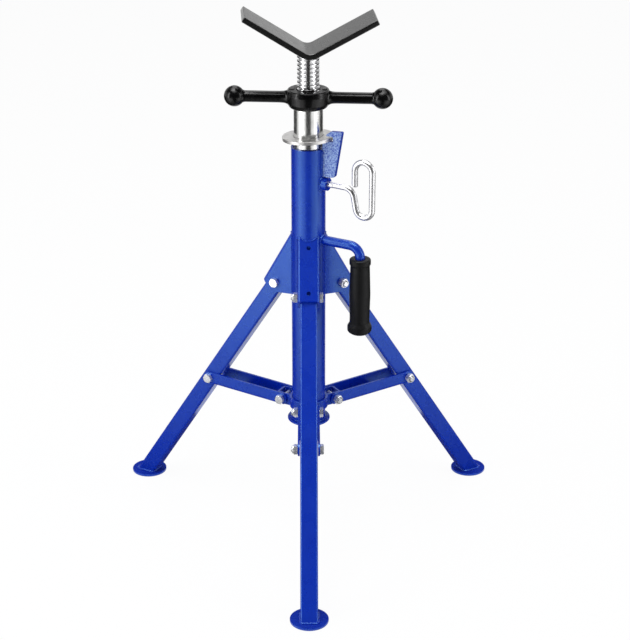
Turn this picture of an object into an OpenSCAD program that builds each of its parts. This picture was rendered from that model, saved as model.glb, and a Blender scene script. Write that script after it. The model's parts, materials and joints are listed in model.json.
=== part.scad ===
// Tripod pipe stand: three folding legs, a telescoping mast and a screw-raised V head.
// Millimetres, +Z up. The origin is on the floor, on the mast's axis.
// The front leg points along -Y.

/* [Mast] */
// Outside diameter of the mast tube
mast_od = 50; // [44:0.5:56]
// Wall of the mast tube
mast_wall = 3; // [2:0.1:4]
// Height of the mast's lower end above the floor
mast_low_z = 171.5; // [160:0.5:180]
// Length of the mast tube
mast_length = 428.5; // [410:0.5:460]
// Radius that the stop disc stands out past the mast
stop_lip = 7; // [4:0.5:9]
// Thickness of the stop disc
stop_t = 3; // [2:0.1:8]

/* [Legs] */
// Outside width of the square leg tube
leg_w = 25; // [22:0.5:27]
// Wall of the leg tube
leg_wall = 2; // [1.5:0.1:3]
// Outside corner radius of the leg tube
leg_corner = 3.5; // [3.2:0.1:5]
// Lean of an open leg from the vertical
leg_angle = 33.5; // [31:0.5:36]
// Height of the leg's top pivot above the floor
leg_pivot_z = 386.5; // [376:0.5:392]
// Distance from the mast's surface to the leg's top pivot
leg_pivot_out = 24; // [22:0.5:26]
// Length of leg past its top pivot
leg_over = 8; // [6:0.5:9]
// Radius of a foot disc
foot_r = 27.5; // [20:0.5:40]
// Thickness of a foot disc
foot_t = 4; // [3:0.1:8]

/* [Brackets and plates] */
// Thickness of the folded plates: brackets, links and lugs
plate_t = 3; // [2:0.1:3.5]
// Side gap between a leg and the plates beside it
side_gap = 0.5; // [0.3:0.05:0.8]
// Gap between the leg's top corners and the bracket's web
web_gap = 0.7; // [0.5:0.1:2]
// Lean of the bracket's web from the vertical
web_angle = 30.2; // [28:0.2:32]
// Length of web below the pivot, along the web
web_low = 8; // [5:0.5:9]
// Radius of the bracket's ears round the pivot
ear_r = 15; // [12:0.5:16]
// Rise of the bracket's lower edge from the ears to the mast
ear_rise = 3.5; // [1:0.5:8]
// Inside bend radius of the folded plates
bend_r = 2; // [1:0.1:3]
// Diameter of the two holes in a bracket's web
web_hole_d = 6; // [4:0.5:8]
// Distance between the two holes in a bracket's web
web_hole_gap = 66.6; // [50:0.2:70]

/* [Spreader] */
// Height of the hub pivots above the mast's lower end
hub_rise = 25.5; // [22:0.5:32]
// Distance from the mast's surface to a hub pivot
hub_out = 15.5; // [15:0.1:16]
// Running gap between the sliding collar and the mast
collar_gap = 0.4; // [0.3:0.05:0.8]
// Wall of the sliding collar
collar_wall = 3.6; // [2.5:0.1:4]
// Height of the sliding collar
collar_h = 16; // [12:0.5:20]
// Distance from a hub pivot to its lug's outer face
lug_out = 9; // [8.5:0.1:9.5]
// Height of a lug
lug_h = 18; // [16:0.5:20]
// Distance down the leg from its top pivot to the link's pivot
link_drop = 221; // [215:0.5:226]
// Height of a link's side walls
link_h = 20; // [16:0.5:21]
// Distance from the hub pivot to the start of the link's web
link_web_start = 22; // [20:0.5:30]
// Length of the link's web
link_web_len = 58; // [40:1:60]

/* [Fasteners] */
// Diameter of the pivot bolts
bolt_d = 8; // [6:0.1:9]
// Clearance of a bolt in its hole, on the diameter
bolt_play = 0.4; // [0.3:0.05:1]
// Width across the flats of a hex head
hex_af = 13; // [12:0.1:15]
// Height of a bolt's head
head_h = 5.3; // [4:0.1:7]
// Height of a nut's hexagon
nut_h = 6; // [4:0.1:8]
// Height of a nut's locking collar
nut_collar_h = 2; // [1:0.1:3]
// Length of bolt that shows past its nut
bolt_show = 2; // [1:0.1:4]
// Running gap under a head or nut that a link turns against
turn_gap = 0.3; // [0.2:0.05:0.5]

/* [Inner tube] */
// Running gap between the inner tube and the mast, on the radius
tube_gap = 0.8; // [0.5:0.1:1.2]
// Wall of the inner tube
tube_wall = 3; // [2:0.1:4]
// Length of the inner tube
tube_length = 480; // [440:1:520]
// Height of the inner tube above the mast's top at its lowest lock
tube_show = 58; // [56:0.5:66]
// Least gap between the inner tube's lower end and the mast's lower end
tube_floor_gap = 1; // [0.5:0.1:6]
// Number of locking holes
hole_count = 7; // [4:1:7]
// Distance between locking holes
hole_pitch = 50; // [45:0.5:52]
// Clearance of the lock pin in a locking hole, on the diameter
hole_play = 1; // [0.6:0.1:2]

/* [Grip plate and hook] */
// Direction of the hook, lock pin and handle round the mast
hook_azimuth = -30; // [-34:1:-26]
// Diameter of the grip plate
grip_plate_d = 75; // [70:0.5:78]
// Thickness of the grip plate
grip_plate_t = 5; // [4:0.1:6]
// Gap between the grip plate and the inner tube
grip_plate_gap = 0.45; // [0.4:0.05:0.8]
// Tilt of the grip plate when it holds the inner tube
grip_plate_tilt = 2.8; // [2:0.1:3.2]
// Height of the notch's floor above the mast's top
notch_rise = 13.2; // [11:0.1:15]
// Gap between the grip plate and the notch's floor
notch_gap = 0.2; // [0.1:0.05:0.3]
// Room over the grip plate in the notch
notch_room = 2.3; // [1.5:0.1:4]
// Depth of the notch past the grip plate's edge
notch_back = 4.5; // [3:0.1:5]
// Thickness of the hook plate
hook_t = 7; // [5:0.1:9]
// Length of hook plate welded to the mast
hook_weld = 41; // [34:0.5:44]
// Width of the hook plate's lower edge
hook_low_w = 19.5; // [14:0.5:22]
// Distance from the mast's surface to the hook plate's top corner
hook_top_out = 31.5; // [27:0.5:34]
// Height of the hook over the notch
hook_over_h = 9; // [7:0.5:12]

/* [Lock pin] */
// Diameter of the lock pin's rod
pin_d = 9; // [7:0.1:9.5]
// Depth of the lock pin's axis below the mast's top
pin_below = 51.5; // [51:0.1:53]
// Diameter of the boss that guides the pin
boss_d = 19; // [16:0.5:20]
// Length of the boss
boss_len = 8; // [6:0.5:16]
// Gap between the pulled pin's tip and the inner tube
pin_tip_gap = 0.5; // [0.3:0.05:0.7]
// Straight length of the pin from the mast's surface
pin_straight = 35; // [30:0.5:37]
// Radius of the bend in the pin's neck
neck_r = 15; // [13:0.5:16]
// Radius of the loop's lower bend
loop_low_r = 13; // [12:0.25:13.5]
// Radius of the loop's upper bend
loop_high_r = 14; // [13.5:0.25:15]
// Distance from the mast's surface to the loop's far side
loop_out = 79; // [77:0.5:82]
// Depth of the lower bend's centre below the pin's axis
loop_low = 27.5; // [24:0.5:34]
// Height of the upper bend's centre above the pin's axis
loop_high = 27.5; // [24:0.5:34]
// Gap between the loop's end and the pin's neck
loop_end_gap = 0.5; // [0.3:0.05:1]

/* [Handle] */
// Diameter of the handle's bar
bar_d = 14; // [12:0.1:16]
// Depth of the bar below the mast's top
bar_below = 138; // [126:0.5:142]
// Distance from the mast's surface to the hand grip's axis
bar_out = 61; // [52:0.5:66]
// Bend radius of the bar's centre line
bar_bend = 17; // [15:0.5:26]
// Length of the hand grip
grip_len = 117.5; // [100:0.5:140]
// Wall of the hand grip
grip_wall = 7.2; // [4:0.1:8]
// Radius that the grip's upper flange stands out
grip_flange = 1.5; // [1:0.1:3]
// Radius that the grip's lower flange stands out
grip_bulb = 3.8; // [2:0.1:6]
// Radius that the grip's middle swells
grip_swell = 1.2; // [0:0.1:2]
// Thickness of rubber under the bar's end
grip_end = 7; // [4:0.5:10]
// Fit of the grip on the bar
grip_fit = 0.1; // [0.05:0.05:0.15]

/* [Jack screw] */
// Gap between the screw and the inner tube, on the radius
screw_gap = 2.2; // [1:0.1:4]
// Length of screw that shows over the nut
screw_show = 50; // [46:0.5:60]
// Length of screw under the nut's top face
screw_hidden = 130; // [118:0.5:140]
// Running gap between the screw and the nut
nut_gap = 0.4; // [0.3:0.05:0.8]
// Height of the jack nut
jack_h = 26.7; // [24:0.1:32]
// Radius of the jack nut's body
jack_r = 30.5; // [27:0.1:34]
// Radius of the jack nut's lower edge
jack_round = 8; // [5:0.5:9]
// Diameter of the nut's two arms
arm_d = 16.5; // [12:0.1:18]
// Height of the arms above the nut's seat
arm_z = 14.5; // [13:0.1:15.5]
// Distance from the axis to the centre of a ball
arm_len = 105; // [90:0.5:120]
// Diameter of the balls
ball_d = 30; // [24:0.5:34]
// Direction of the arms round the mast
arm_azimuth = -4.1; // [-20:0.1:20]

/* [Head] */
// Thickness of the head's bar
head_t = 8; // [6:0.1:10]
// Width of the head's bar
head_w = 70; // [60:0.5:80]
// Rise of the head's arms from the horizontal
head_rise = 30; // [25:0.5:35]
// Inside radius of the head's bend
head_bend = 16; // [10:0.5:20]
// Distance between the upper edges of the head's arms
head_span = 183; // [170:0.5:200]
// Direction of the head round the mast
head_azimuth = 3.3; // [-20:0.1:20]
// Tilt of the head on the screw, where it is welded
head_tilt = 2; // [0:0.1:3]

/* [Hidden] */

$fn = 64;
// Past any surface that a cut has to clear
far = 400;
// Overshoot of a cut at a face
eps = 1;
front = 270;
right = 30;
left = 150;

mast_r = mast_od / 2;
mast_top_z = mast_low_z + mast_length;
bolt_hole_d = bolt_d + bolt_play;

// The leg's top pivot, as radius and height
pivot = [mast_r + leg_pivot_out, leg_pivot_z];
// Unit vectors in the radial plane: down the leg, and down and out of the bracket's web
leg_dir = [sin(leg_angle), -cos(leg_angle)];
web_dir = [sin(web_angle), -cos(web_angle)];
web_out = [cos(web_angle), sin(web_angle)];
foot_centre_r = pivot.x + (pivot.y - foot_t) * tan(leg_angle);
leg_length = leg_pivot_z / cos(leg_angle) + leg_w;

// Half widths across a leg, across the plates' inner faces and across their outer faces
half_leg = leg_w / 2;
half_in = half_leg + side_gap;
half_out = half_in + plate_t;
web_face = norm([half_leg, leg_over]) + web_gap + plate_t;
web_hole_low = 3;

collar_r = mast_r + collar_gap + collar_wall;
hub = [mast_r + hub_out, mast_low_z + hub_rise];
link_end = pivot + link_drop * leg_dir;
link_vec = link_end - hub;
link_len = norm(link_vec);
link_tilt = atan2(link_vec.y, link_vec.x);

tube_r = mast_r - mast_wall - tube_gap;
tube_bore_r = tube_r - tube_wall;
// The tube hangs in its lock, and never lower than its gap over the stop disc
tube_low_z = max(mast_top_z + tube_show - tube_length, mast_low_z + tube_floor_gap);
tube_top_z = tube_low_z + tube_length;
pin_z = mast_top_z - pin_below;
pin_hole_d = pin_d + hole_play;
boss_hole_d = pin_d + hole_play / 2;

grip_plate_r = grip_plate_d / 2;
notch_z = mast_top_z + notch_rise;
notch_top_z = notch_z + notch_gap + grip_plate_t + notch_room;

screw_r = tube_bore_r - screw_gap;
jack_bore_r = screw_r + nut_gap;
jack_top_z = tube_top_z + jack_h;
head_low_z = jack_top_z + screw_show;
head_arm = (head_span / 2 - head_bend * sin(head_rise)) / cos(head_rise);

// Points on an arc, from angle a to angle b, in steps of a few degrees
function arc(centre, r, a, b, steps = 10) =
    [for (i = [0:steps]) centre + r * [cos(a + (b - a) * i / steps), sin(a + (b - a) * i / steps)]];

// The outline with one fillet at each corner: corners holds [x, y, fillet radius]
function unit(v) = v / norm(v);
function corner_arc(p, q, s, r) =
    let (
        u = unit(p - q),
        v = unit(s - q),
        half = acos(u * v) / 2,
        centre = q + unit(u + v) * r / sin(half),
        from = q + u * r / tan(half) - centre,
        to = q + v * r / tan(half) - centre,
        a = atan2(from.y, from.x),
        turn = (atan2(to.y, to.x) - a + 540) % 360 - 180
    )
    r > 0 ? arc(centre, r, a, a + turn, 5) : [q];
function xy(p) = [p.x, p.y];
function rounded(corners) =
    let (n = len(corners))
    [for (i = [0:n - 1])
        each corner_arc(xy(corners[(i + n - 1) % n]), xy(corners[i]), xy(corners[(i + 1) % n]), corners[i].z)];

// Turns a drawing of radius and height into the radial plane, where depth runs along Y
module radial_plane() rotate([90, 0, 0]) children();

module profile(depth) radial_plane() linear_extrude(depth, center = true) children();

// A cylinder across the radial plane at a point, between two offsets along Y
module cross_pin(point, d, from, to) {
    translate([point.x, from, point.y])
        rotate([-90, 0, 0])
            cylinder(d = d, h = to - from);
}

module mast_space(extra = 0) cylinder(r = mast_r + extra, h = far * 4, center = true);

// A square with round corners, centred
module round_square(w, r) {
    square([w, w - 2 * r], center = true);
    square([w - 2 * r, w], center = true);
    for (x = [-1, 1], y = [-1, 1])
        translate([x * (w / 2 - r), y * (w / 2 - r)])
            circle(r);
}

// The plan of a folded U-plate that is open towards -X: its web's face is at x = face
module u_plan(face, half, r) {
    translate([face - far, -half])
        square([far - r, 2 * half]);
    translate([face - far, -half + r])
        square([far, 2 * (half - r)]);
    for (side = [-1, 1])
        translate([face - r, side * (half - r)])
            circle(r);
}

// Mast

module outer_tube() {
    color([0.09, 0.22, 0.72])
    difference() {
        translate([0, 0, mast_low_z])
            cylinder(d = mast_od, h = mast_length);
        cylinder(r = mast_r - mast_wall, h = far * 4, center = true);
        rotate([0, 0, hook_azimuth])
            translate([0, 0, pin_z])
                rotate([0, 90, 0])
                    cylinder(d = boss_hole_d, h = far);
    }
}

module bottom_stop() {
    color([0.09, 0.22, 0.72])
    translate([0, 0, mast_low_z - stop_t])
        cylinder(r = mast_r + stop_lip, h = stop_t);
}

module hook_plate() {
    lip_z = notch_top_z + hook_over_h;
    notch_end = grip_plate_r + notch_back;
    tip_r = grip_plate_r - notch_back - 2;
    top_r = mast_r + hook_top_out;
    // The notch's floor falls towards the mast a little more than the tilted grip plate does
    floor_drop = (grip_plate_r - mast_r) * tan(grip_plate_tilt) + notch_gap;
    color([0.14, 0.28, 0.76])
    rotate([0, 0, hook_azimuth])
        difference() {
            profile(hook_t)
                polygon(rounded([
                    [mast_r - eps * 5, mast_top_z - hook_weld, 0],
                    [mast_r + hook_low_w, mast_top_z - hook_weld + 1.5, 4],
                    [top_r, lip_z, 2],
                    [tip_r + 7, lip_z - 1.5, 2],
                    [tip_r, notch_top_z + 2, 1],
                    [tip_r, notch_top_z, 0.5],
                    [notch_end, notch_top_z, 1.5],
                    [notch_end, notch_z, 1.5],
                    [grip_plate_r, notch_z, 0],
                    [mast_r + 2, notch_z - floor_drop, 1],
                    [mast_r - eps * 5, notch_z - 8, 0]
                ]));
            mast_space();
        }
}

module pin_boss() {
    color([0.09, 0.22, 0.72])
    rotate([0, 0, hook_azimuth])
        difference() {
            translate([0, 0, pin_z])
                rotate([0, 90, 0])
                    cylinder(d = boss_d, h = mast_r + boss_len);
            translate([0, 0, pin_z])
                rotate([0, 90, 0])
                    cylinder(d = boss_hole_d, h = far);
            mast_space();
        }
}

module handle_bar() {
    bar_z = mast_top_z - bar_below;
    axis_r = mast_r + bar_out;
    bend_r = axis_r - bar_bend;
    color([0.09, 0.22, 0.72])
    rotate([0, 0, hook_azimuth])
        difference() {
            union() {
                translate([0, 0, bar_z])
                    rotate([0, 90, 0])
                        cylinder(d = bar_d, h = bend_r);
                translate([bend_r, 0, bar_z - bar_bend])
                    radial_plane()
                        rotate_extrude(angle = 90)
                            translate([bar_bend, 0])
                                circle(d = bar_d);
                translate([axis_r, 0, bar_z - bar_bend - grip_len + grip_end])
                    cylinder(d = bar_d, h = grip_len - grip_end);
            }
            mast_space();
        }
}

// The grip's bore is blind: rubber closes its lower end
module hand_grip() {
    grip_r = bar_d / 2 + grip_wall;
    bulb_r = grip_r + grip_bulb;
    top_r = grip_r + grip_flange;
    color([0.05, 0.05, 0.055])
    rotate([0, 0, hook_azimuth])
        translate([mast_r + bar_out, 0, mast_top_z - bar_below - bar_bend - grip_len])
            difference() {
                rotate_extrude()
                    polygon(rounded([
                        [0, 0, 0],
                        [bulb_r - 3, 0, 5],
                        [bulb_r, 9, 4],
                        [grip_r, 18, 3],
                        [grip_r + grip_swell, grip_len * 0.6, 90],
                        [grip_r, grip_len - 9, 1],
                        [top_r, grip_len - 8, 1.5],
                        [top_r, grip_len, 2.5],
                        [0, grip_len, 0]
                    ]));
                translate([0, 0, grip_end])
                    cylinder(r = bar_d / 2 + grip_fit, h = grip_len);
            }
}

// Outline of a bracket in the radial plane: ears round the pivot under a sloped web
module bracket_outline() {
    web_foot = pivot + web_face * web_out + web_low * web_dir;
    web_head = web_foot - web_dir * web_foot.x / web_dir.x;
    translate(pivot)
        circle(ear_r);
    polygon(concat(
        [[0, pivot.y - ear_r + ear_rise]],
        arc(pivot, ear_r, -97, -35),
        [web_foot, web_head]
    ));
}

module bracket(azimuth) {
    color([0.09, 0.22, 0.72])
    rotate([0, 0, azimuth])
        difference() {
            intersection() {
                profile(2 * half_out)
                    bracket_outline();
                web_frame()
                    linear_extrude(far, center = true)
                        u_plan(web_face, half_out, bend_r + plate_t);
            }
            web_frame()
                linear_extrude(far, center = true)
                    u_plan(web_face - plate_t, half_in, bend_r);
            mast_space();
            cross_pin(pivot, bolt_hole_d, -far, far);
            for (up = [web_hole_low, web_hole_low + web_hole_gap])
                web_frame()
                    translate([web_face / 2, 0, up])
                        rotate([0, 90, 0])
                            cylinder(d = web_hole_d, h = web_face);
        }
}

// A frame at the pivot with +Z up along the bracket's web and +X out through it
module web_frame() {
    translate([pivot.x, 0, pivot.y])
        rotate([0, -web_angle, 0])
            children();
}

// Fasteners, along Y, with the head on the +Y side of the radial plane

module hex(h, af) cylinder(d = af / cos(30), h = h, $fn = 6);

module bolt_head(point, seat) {
    translate([point.x, seat, point.y])
        rotate([-90, 0, 0])
            hex(head_h, hex_af);
}

module bolt_tip_span(point, seat, from) {
    cross_pin(point, bolt_d, -seat - nut_h - nut_collar_h - bolt_show, from);
}

module whole_bolt(azimuth, point, seat) {
    color([0.75, 0.76, 0.78])
    rotate([0, 0, azimuth]) {
        bolt_head(point, seat);
        bolt_tip_span(point, seat, seat);
    }
}

// A link's outer bolt leaves the leg's width free, so the leg can fold past it
module open_bolt(azimuth, point, seat, inside) {
    color([0.75, 0.76, 0.78])
    rotate([0, 0, azimuth]) {
        bolt_head(point, seat);
        cross_pin(point, bolt_d, inside, seat);
        bolt_tip_span(point, seat, -inside);
    }
}

module lock_nut(azimuth, point, seat) {
    nut_fit = 0.2;
    color([0.75, 0.76, 0.78])
    rotate([0, 0, azimuth])
        difference() {
            translate([point.x, -seat, point.y])
                rotate([90, 0, 0]) {
                    hex(nut_h, hex_af);
                    cylinder(d = hex_af - 1.5, h = nut_h + nut_collar_h);
                }
            cross_pin(point, bolt_d + nut_fit, -far, far);
        }
}

// Legs

module leg(azimuth) {
    color([0.09, 0.22, 0.72])
    rotate([0, 0, azimuth])
        difference() {
            translate([pivot.x, 0, pivot.y])
                rotate([0, -leg_angle, 0])
                    translate([0, 0, -leg_length])
                        linear_extrude(leg_length + leg_over)
                            difference() {
                                round_square(leg_w, leg_corner);
                                round_square(leg_w - 2 * leg_wall, leg_corner - leg_wall);
                            }
            translate([0, 0, foot_t - far])
                cylinder(r = 2 * far, h = far);
            cross_pin(pivot, bolt_hole_d, -far, far);
            cross_pin(link_end, bolt_hole_d, -far, far);
        }
}

module foot(azimuth) {
    color([0.09, 0.22, 0.72])
    rotate([0, 0, azimuth])
        translate([foot_centre_r, 0, 0])
            cylinder(r = foot_r, h = foot_t);
}

// Spreader

module collar_ring() {
    color([0.09, 0.22, 0.72])
    translate([0, 0, hub.y + lug_h / 2 - collar_h])
        difference() {
            cylinder(r = collar_r, h = collar_h);
            mast_space(collar_gap);
        }
}

module lug(azimuth) {
    color([0.09, 0.22, 0.72])
    rotate([0, 0, azimuth])
        difference() {
            translate([0, 0, hub.y - lug_h / 2])
                linear_extrude(lug_h)
                    difference() {
                        intersection() {
                            u_plan(hub.x + lug_out, half_leg, bend_r + plate_t);
                            translate([0, -far / 2])
                                square(far);
                        }
                        u_plan(hub.x + lug_out - plate_t, half_leg - plate_t, bend_r);
                        circle(collar_r);
                    }
            cross_pin(hub, bolt_hole_d, -far, far);
        }
}

// The link lies along X from its hub pivot, then turns to its tilt
module link(azimuth) {
    web_end = link_web_start + link_web_len;
    color([0.09, 0.22, 0.72])
    rotate([0, 0, azimuth])
        translate([hub.x, 0, hub.y])
            rotate([0, -link_tilt, 0])
                difference() {
                    intersection() {
                        profile(2 * half_out) {
                            translate([0, -link_h / 2])
                                square([link_len, link_h]);
                            circle(link_h / 2);
                            translate([link_len, 0])
                                circle(link_h / 2);
                        }
                        channel(link_h / 2, half_out, bend_r + plate_t);
                    }
                    channel(link_h / 2 - plate_t, half_in, bend_r);
                    for (end = [link_web_start - far, web_end])
                        translate([end, -half_in, -far / 2])
                            cube([far, 2 * half_in, far]);
                    cross_pin([0, 0], bolt_hole_d, -far, far);
                    cross_pin([link_len, 0], bolt_hole_d, -far, far);
                }
}

// A U-section along X that is open upwards, with its web's face at z = -depth
module channel(depth, half, r) {
    rotate([0, 90, 0])
        linear_extrude(far * 2, center = true)
            u_plan(depth, half, r);
}

// Telescoping mast

module inner_tube() {
    color([0.8, 0.8, 0.8])
    difference() {
        translate([0, 0, tube_low_z])
            cylinder(r = tube_r, h = tube_length);
        cylinder(r = tube_bore_r, h = far * 4, center = true);
        for (i = [0:hole_count - 1])
            rotate([0, 0, hook_azimuth])
                translate([0, 0, pin_z - i * hole_pitch])
                    rotate([0, 90, 0])
                        cylinder(d = pin_hole_d, h = far, center = true);
    }
}

// The plate tips about its edge in the hook's notch, so its free side hangs lower
module friction_collar() {
    color([0.8, 0.8, 0.8])
    rotate([0, 0, hook_azimuth])
        translate([grip_plate_r, 0, notch_z + notch_gap])
            rotate([0, -grip_plate_tilt, 0])
                translate([-grip_plate_r, 0, 0])
                    difference() {
                        cylinder(r = grip_plate_r, h = grip_plate_t);
                        cylinder(r = tube_r + grip_plate_gap, h = far, center = true);
                    }
}

// A rod of round section along a path in the radial plane, where path holds [point, direction] pairs
module bent_rod(path, d, sides = 12) {
    rings = len(path);
    points = [
        for (step = path, i = [0:sides - 1])
            let (
                across = d / 2 * cos(360 * i / sides),
                flat = step[0] + across * [-sin(step[1]), cos(step[1])]
            )
            [flat.x, flat.y, d / 2 * sin(360 * i / sides)]
    ];
    skin = [
        for (k = [0:rings - 2], i = [0:sides - 1])
            let (
                a = k * sides + i,
                b = k * sides + (i + 1) % sides
            )
            each [[b, a, b + sides], [b + sides, a, a + sides]]
    ];
    caps = [[for (i = [0:sides - 1]) i], [for (i = [sides - 1:-1:0]) (rings - 1) * sides + i]];
    polyhedron(points, concat(skin, caps));
}

// Steps along a bend: spin is 1 where the path turns left and -1 where it turns right
function bend_steps(centre, r, a, b, spin, steps) =
    [for (i = [0:steps])
        let (angle = a + (b - a) * i / steps)
        [centre + r * [cos(angle), sin(angle)], angle + 90 * spin]];

// A straight shank, then one bent rod: neck, lower bend, far side, upper bend and near side
module lock_pin() {
    // The bent rod is a shade slimmer, so that its corners lie inside the shank
    bent_d = pin_d - 0.1;
    shank_end = [mast_r + pin_straight, pin_z];
    neck = shank_end - [0, neck_r];
    low = [mast_r + loop_out - loop_low_r, pin_z - loop_low];
    high = [mast_r + loop_out - loop_high_r, pin_z + loop_high];
    reach = low - neck;
    // Direction of the straight stretch that is tangent to the neck and to the lower bend
    slope = atan2(reach.y, reach.x) - asin((neck_r + loop_low_r) / norm(reach));
    near_r = high.x - loop_high_r;
    drop = near_r - neck.x;
    clear_r = neck_r + pin_d + loop_end_gap;
    near_end = [near_r, neck.y + sqrt(clear_r * clear_r - drop * drop)];
    color([0.75, 0.76, 0.78])
    rotate([0, 0, hook_azimuth]) {
        translate([tube_r + pin_tip_gap, 0, pin_z])
            rotate([0, 90, 0])
                cylinder(d = pin_d, h = shank_end.x - tube_r - pin_tip_gap);
        radial_plane()
            bent_rod(concat(
                [[shank_end - [pin_d, 0], 0]],
                bend_steps(neck, neck_r, 90, slope + 90, -1, 6),
                bend_steps(low, loop_low_r, slope - 90, 0, 1, 12),
                bend_steps(high, loop_high_r, 0, 180, 1, 14),
                [[near_end, -90]]
            ), bent_d);
    }
}

// Jack screw

// A bar that ends in a ball, turned about Z from the nut's axis outwards
module turned_arm() {
    ball_r = ball_d / 2;
    neck = asin(arm_d / ball_d);
    rotate_extrude()
        polygon(concat(
            [[0, 0], [arm_d / 2, 0]],
            arc([0, arm_len], ball_r, neck - 90, 90, 16)
        ));
}

module jack_nut() {
    seat_r = jack_r - jack_round;
    color([0.05, 0.05, 0.055])
    translate([0, 0, tube_top_z])
        difference() {
            union() {
                rotate_extrude()
                    polygon(concat(
                        [[0, 0]],
                        arc([seat_r, jack_round], jack_round, -90, 0),
                        [[jack_r, jack_h * 0.75], [jack_r - 1, jack_h - 1.2], [jack_r - 2.2, jack_h], [0, jack_h]]
                    ));
                for (side = [0, 180])
                    rotate([0, 0, arm_azimuth + side])
                        translate([0, 0, arm_z])
                            rotate([0, 90, 0])
                                turned_arm();
            }
            cylinder(r = jack_bore_r, h = far, center = true);
        }
}

// The screw's top is cut to the underside of the head, where it is welded
module lift_screw() {
    under = head_bend + head_t;
    color([0.75, 0.76, 0.78])
    difference() {
        translate([0, 0, jack_top_z - screw_hidden])
            cylinder(r = screw_r, h = screw_hidden + screw_show + head_bend);
        head_place()
            profile(far)
                polygon(concat(
                    [arm_tip(under, -1)],
                    arc([0, 0], under, -90 - head_rise, -90 + head_rise, 12),
                    [arm_tip(under, 1), [head_arm, far], [-head_arm, far]]
                ));
    }
}

// The centre of the head's bend: the head tilts about the middle of the screw's top
module head_place() {
    rotate([0, 0, head_azimuth])
        translate([0, 0, head_low_z])
            rotate([0, head_tilt, 0])
                translate([0, 0, head_bend + head_t])
                    children();
}

// One end of the V's outline: from a face at distance r below the bend's centre, out along an arm
function arm_tip(r, side) =
    r * [side * sin(head_rise), -cos(head_rise)] + head_arm * [side * cos(head_rise), sin(head_rise)];

module v_head() {
    under = head_bend + head_t;
    color([0.07, 0.07, 0.075])
    head_place()
        profile(head_w)
            polygon(concat(
                [arm_tip(under, -1)],
                arc([0, 0], under, -90 - head_rise, -90 + head_rise, 12),
                [arm_tip(under, 1), arm_tip(head_bend, 1)],
                arc([0, 0], head_bend, -90 + head_rise, -90 - head_rise, 12),
                [arm_tip(head_bend, -1)]
            ));
}

outer_tube();
bottom_stop();
hook_plate();
pin_boss();
handle_bar();
hand_grip();
bracket(front);  // bracket_front
bracket(right);  // bracket_right
bracket(left);  // bracket_left
whole_bolt(front, pivot, half_out);  // pivot_bolt_front
whole_bolt(right, pivot, half_out);  // pivot_bolt_right
whole_bolt(left, pivot, half_out);  // pivot_bolt_left
lock_nut(front, pivot, half_out);  // pivot_nut_front
lock_nut(right, pivot, half_out);  // pivot_nut_right
lock_nut(left, pivot, half_out);  // pivot_nut_left
leg(front);  // leg_front
leg(right);  // leg_right
leg(left);  // leg_left
foot(front);  // foot_front
foot(right);  // foot_right
foot(left);  // foot_left
collar_ring();
lug(front);  // lug_front
lug(right);  // lug_right
lug(left);  // lug_left
whole_bolt(front, hub, half_out + turn_gap);  // hub_bolt_front
whole_bolt(right, hub, half_out + turn_gap);  // hub_bolt_right
whole_bolt(left, hub, half_out + turn_gap);  // hub_bolt_left
lock_nut(front, hub, half_out + turn_gap);  // hub_nut_front
lock_nut(right, hub, half_out + turn_gap);  // hub_nut_right
lock_nut(left, hub, half_out + turn_gap);  // hub_nut_left
link(front);  // link_front
link(right);  // link_right
link(left);  // link_left
open_bolt(front, link_end, half_out, half_in);  // link_bolt_front
open_bolt(right, link_end, half_out, half_in);  // link_bolt_right
open_bolt(left, link_end, half_out, half_in);  // link_bolt_left
lock_nut(front, link_end, half_out);  // link_nut_front
lock_nut(right, link_end, half_out);  // link_nut_right
lock_nut(left, link_end, half_out);  // link_nut_left
inner_tube();
friction_collar();
lock_pin();
jack_nut();
lift_screw();
v_head();
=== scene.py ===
"""Tripod pipe stand: finishes, threads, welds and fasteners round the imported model.

Sizes are in millimetres in the stand's own frame, +Z up, origin on the floor under the mast.
Meshes are turned into metres where they are made.
"""

from __future__ import annotations

import json
import logging
import math
from dataclasses import dataclass, field
from enum import Enum
from typing import Callable, Sequence

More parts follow.
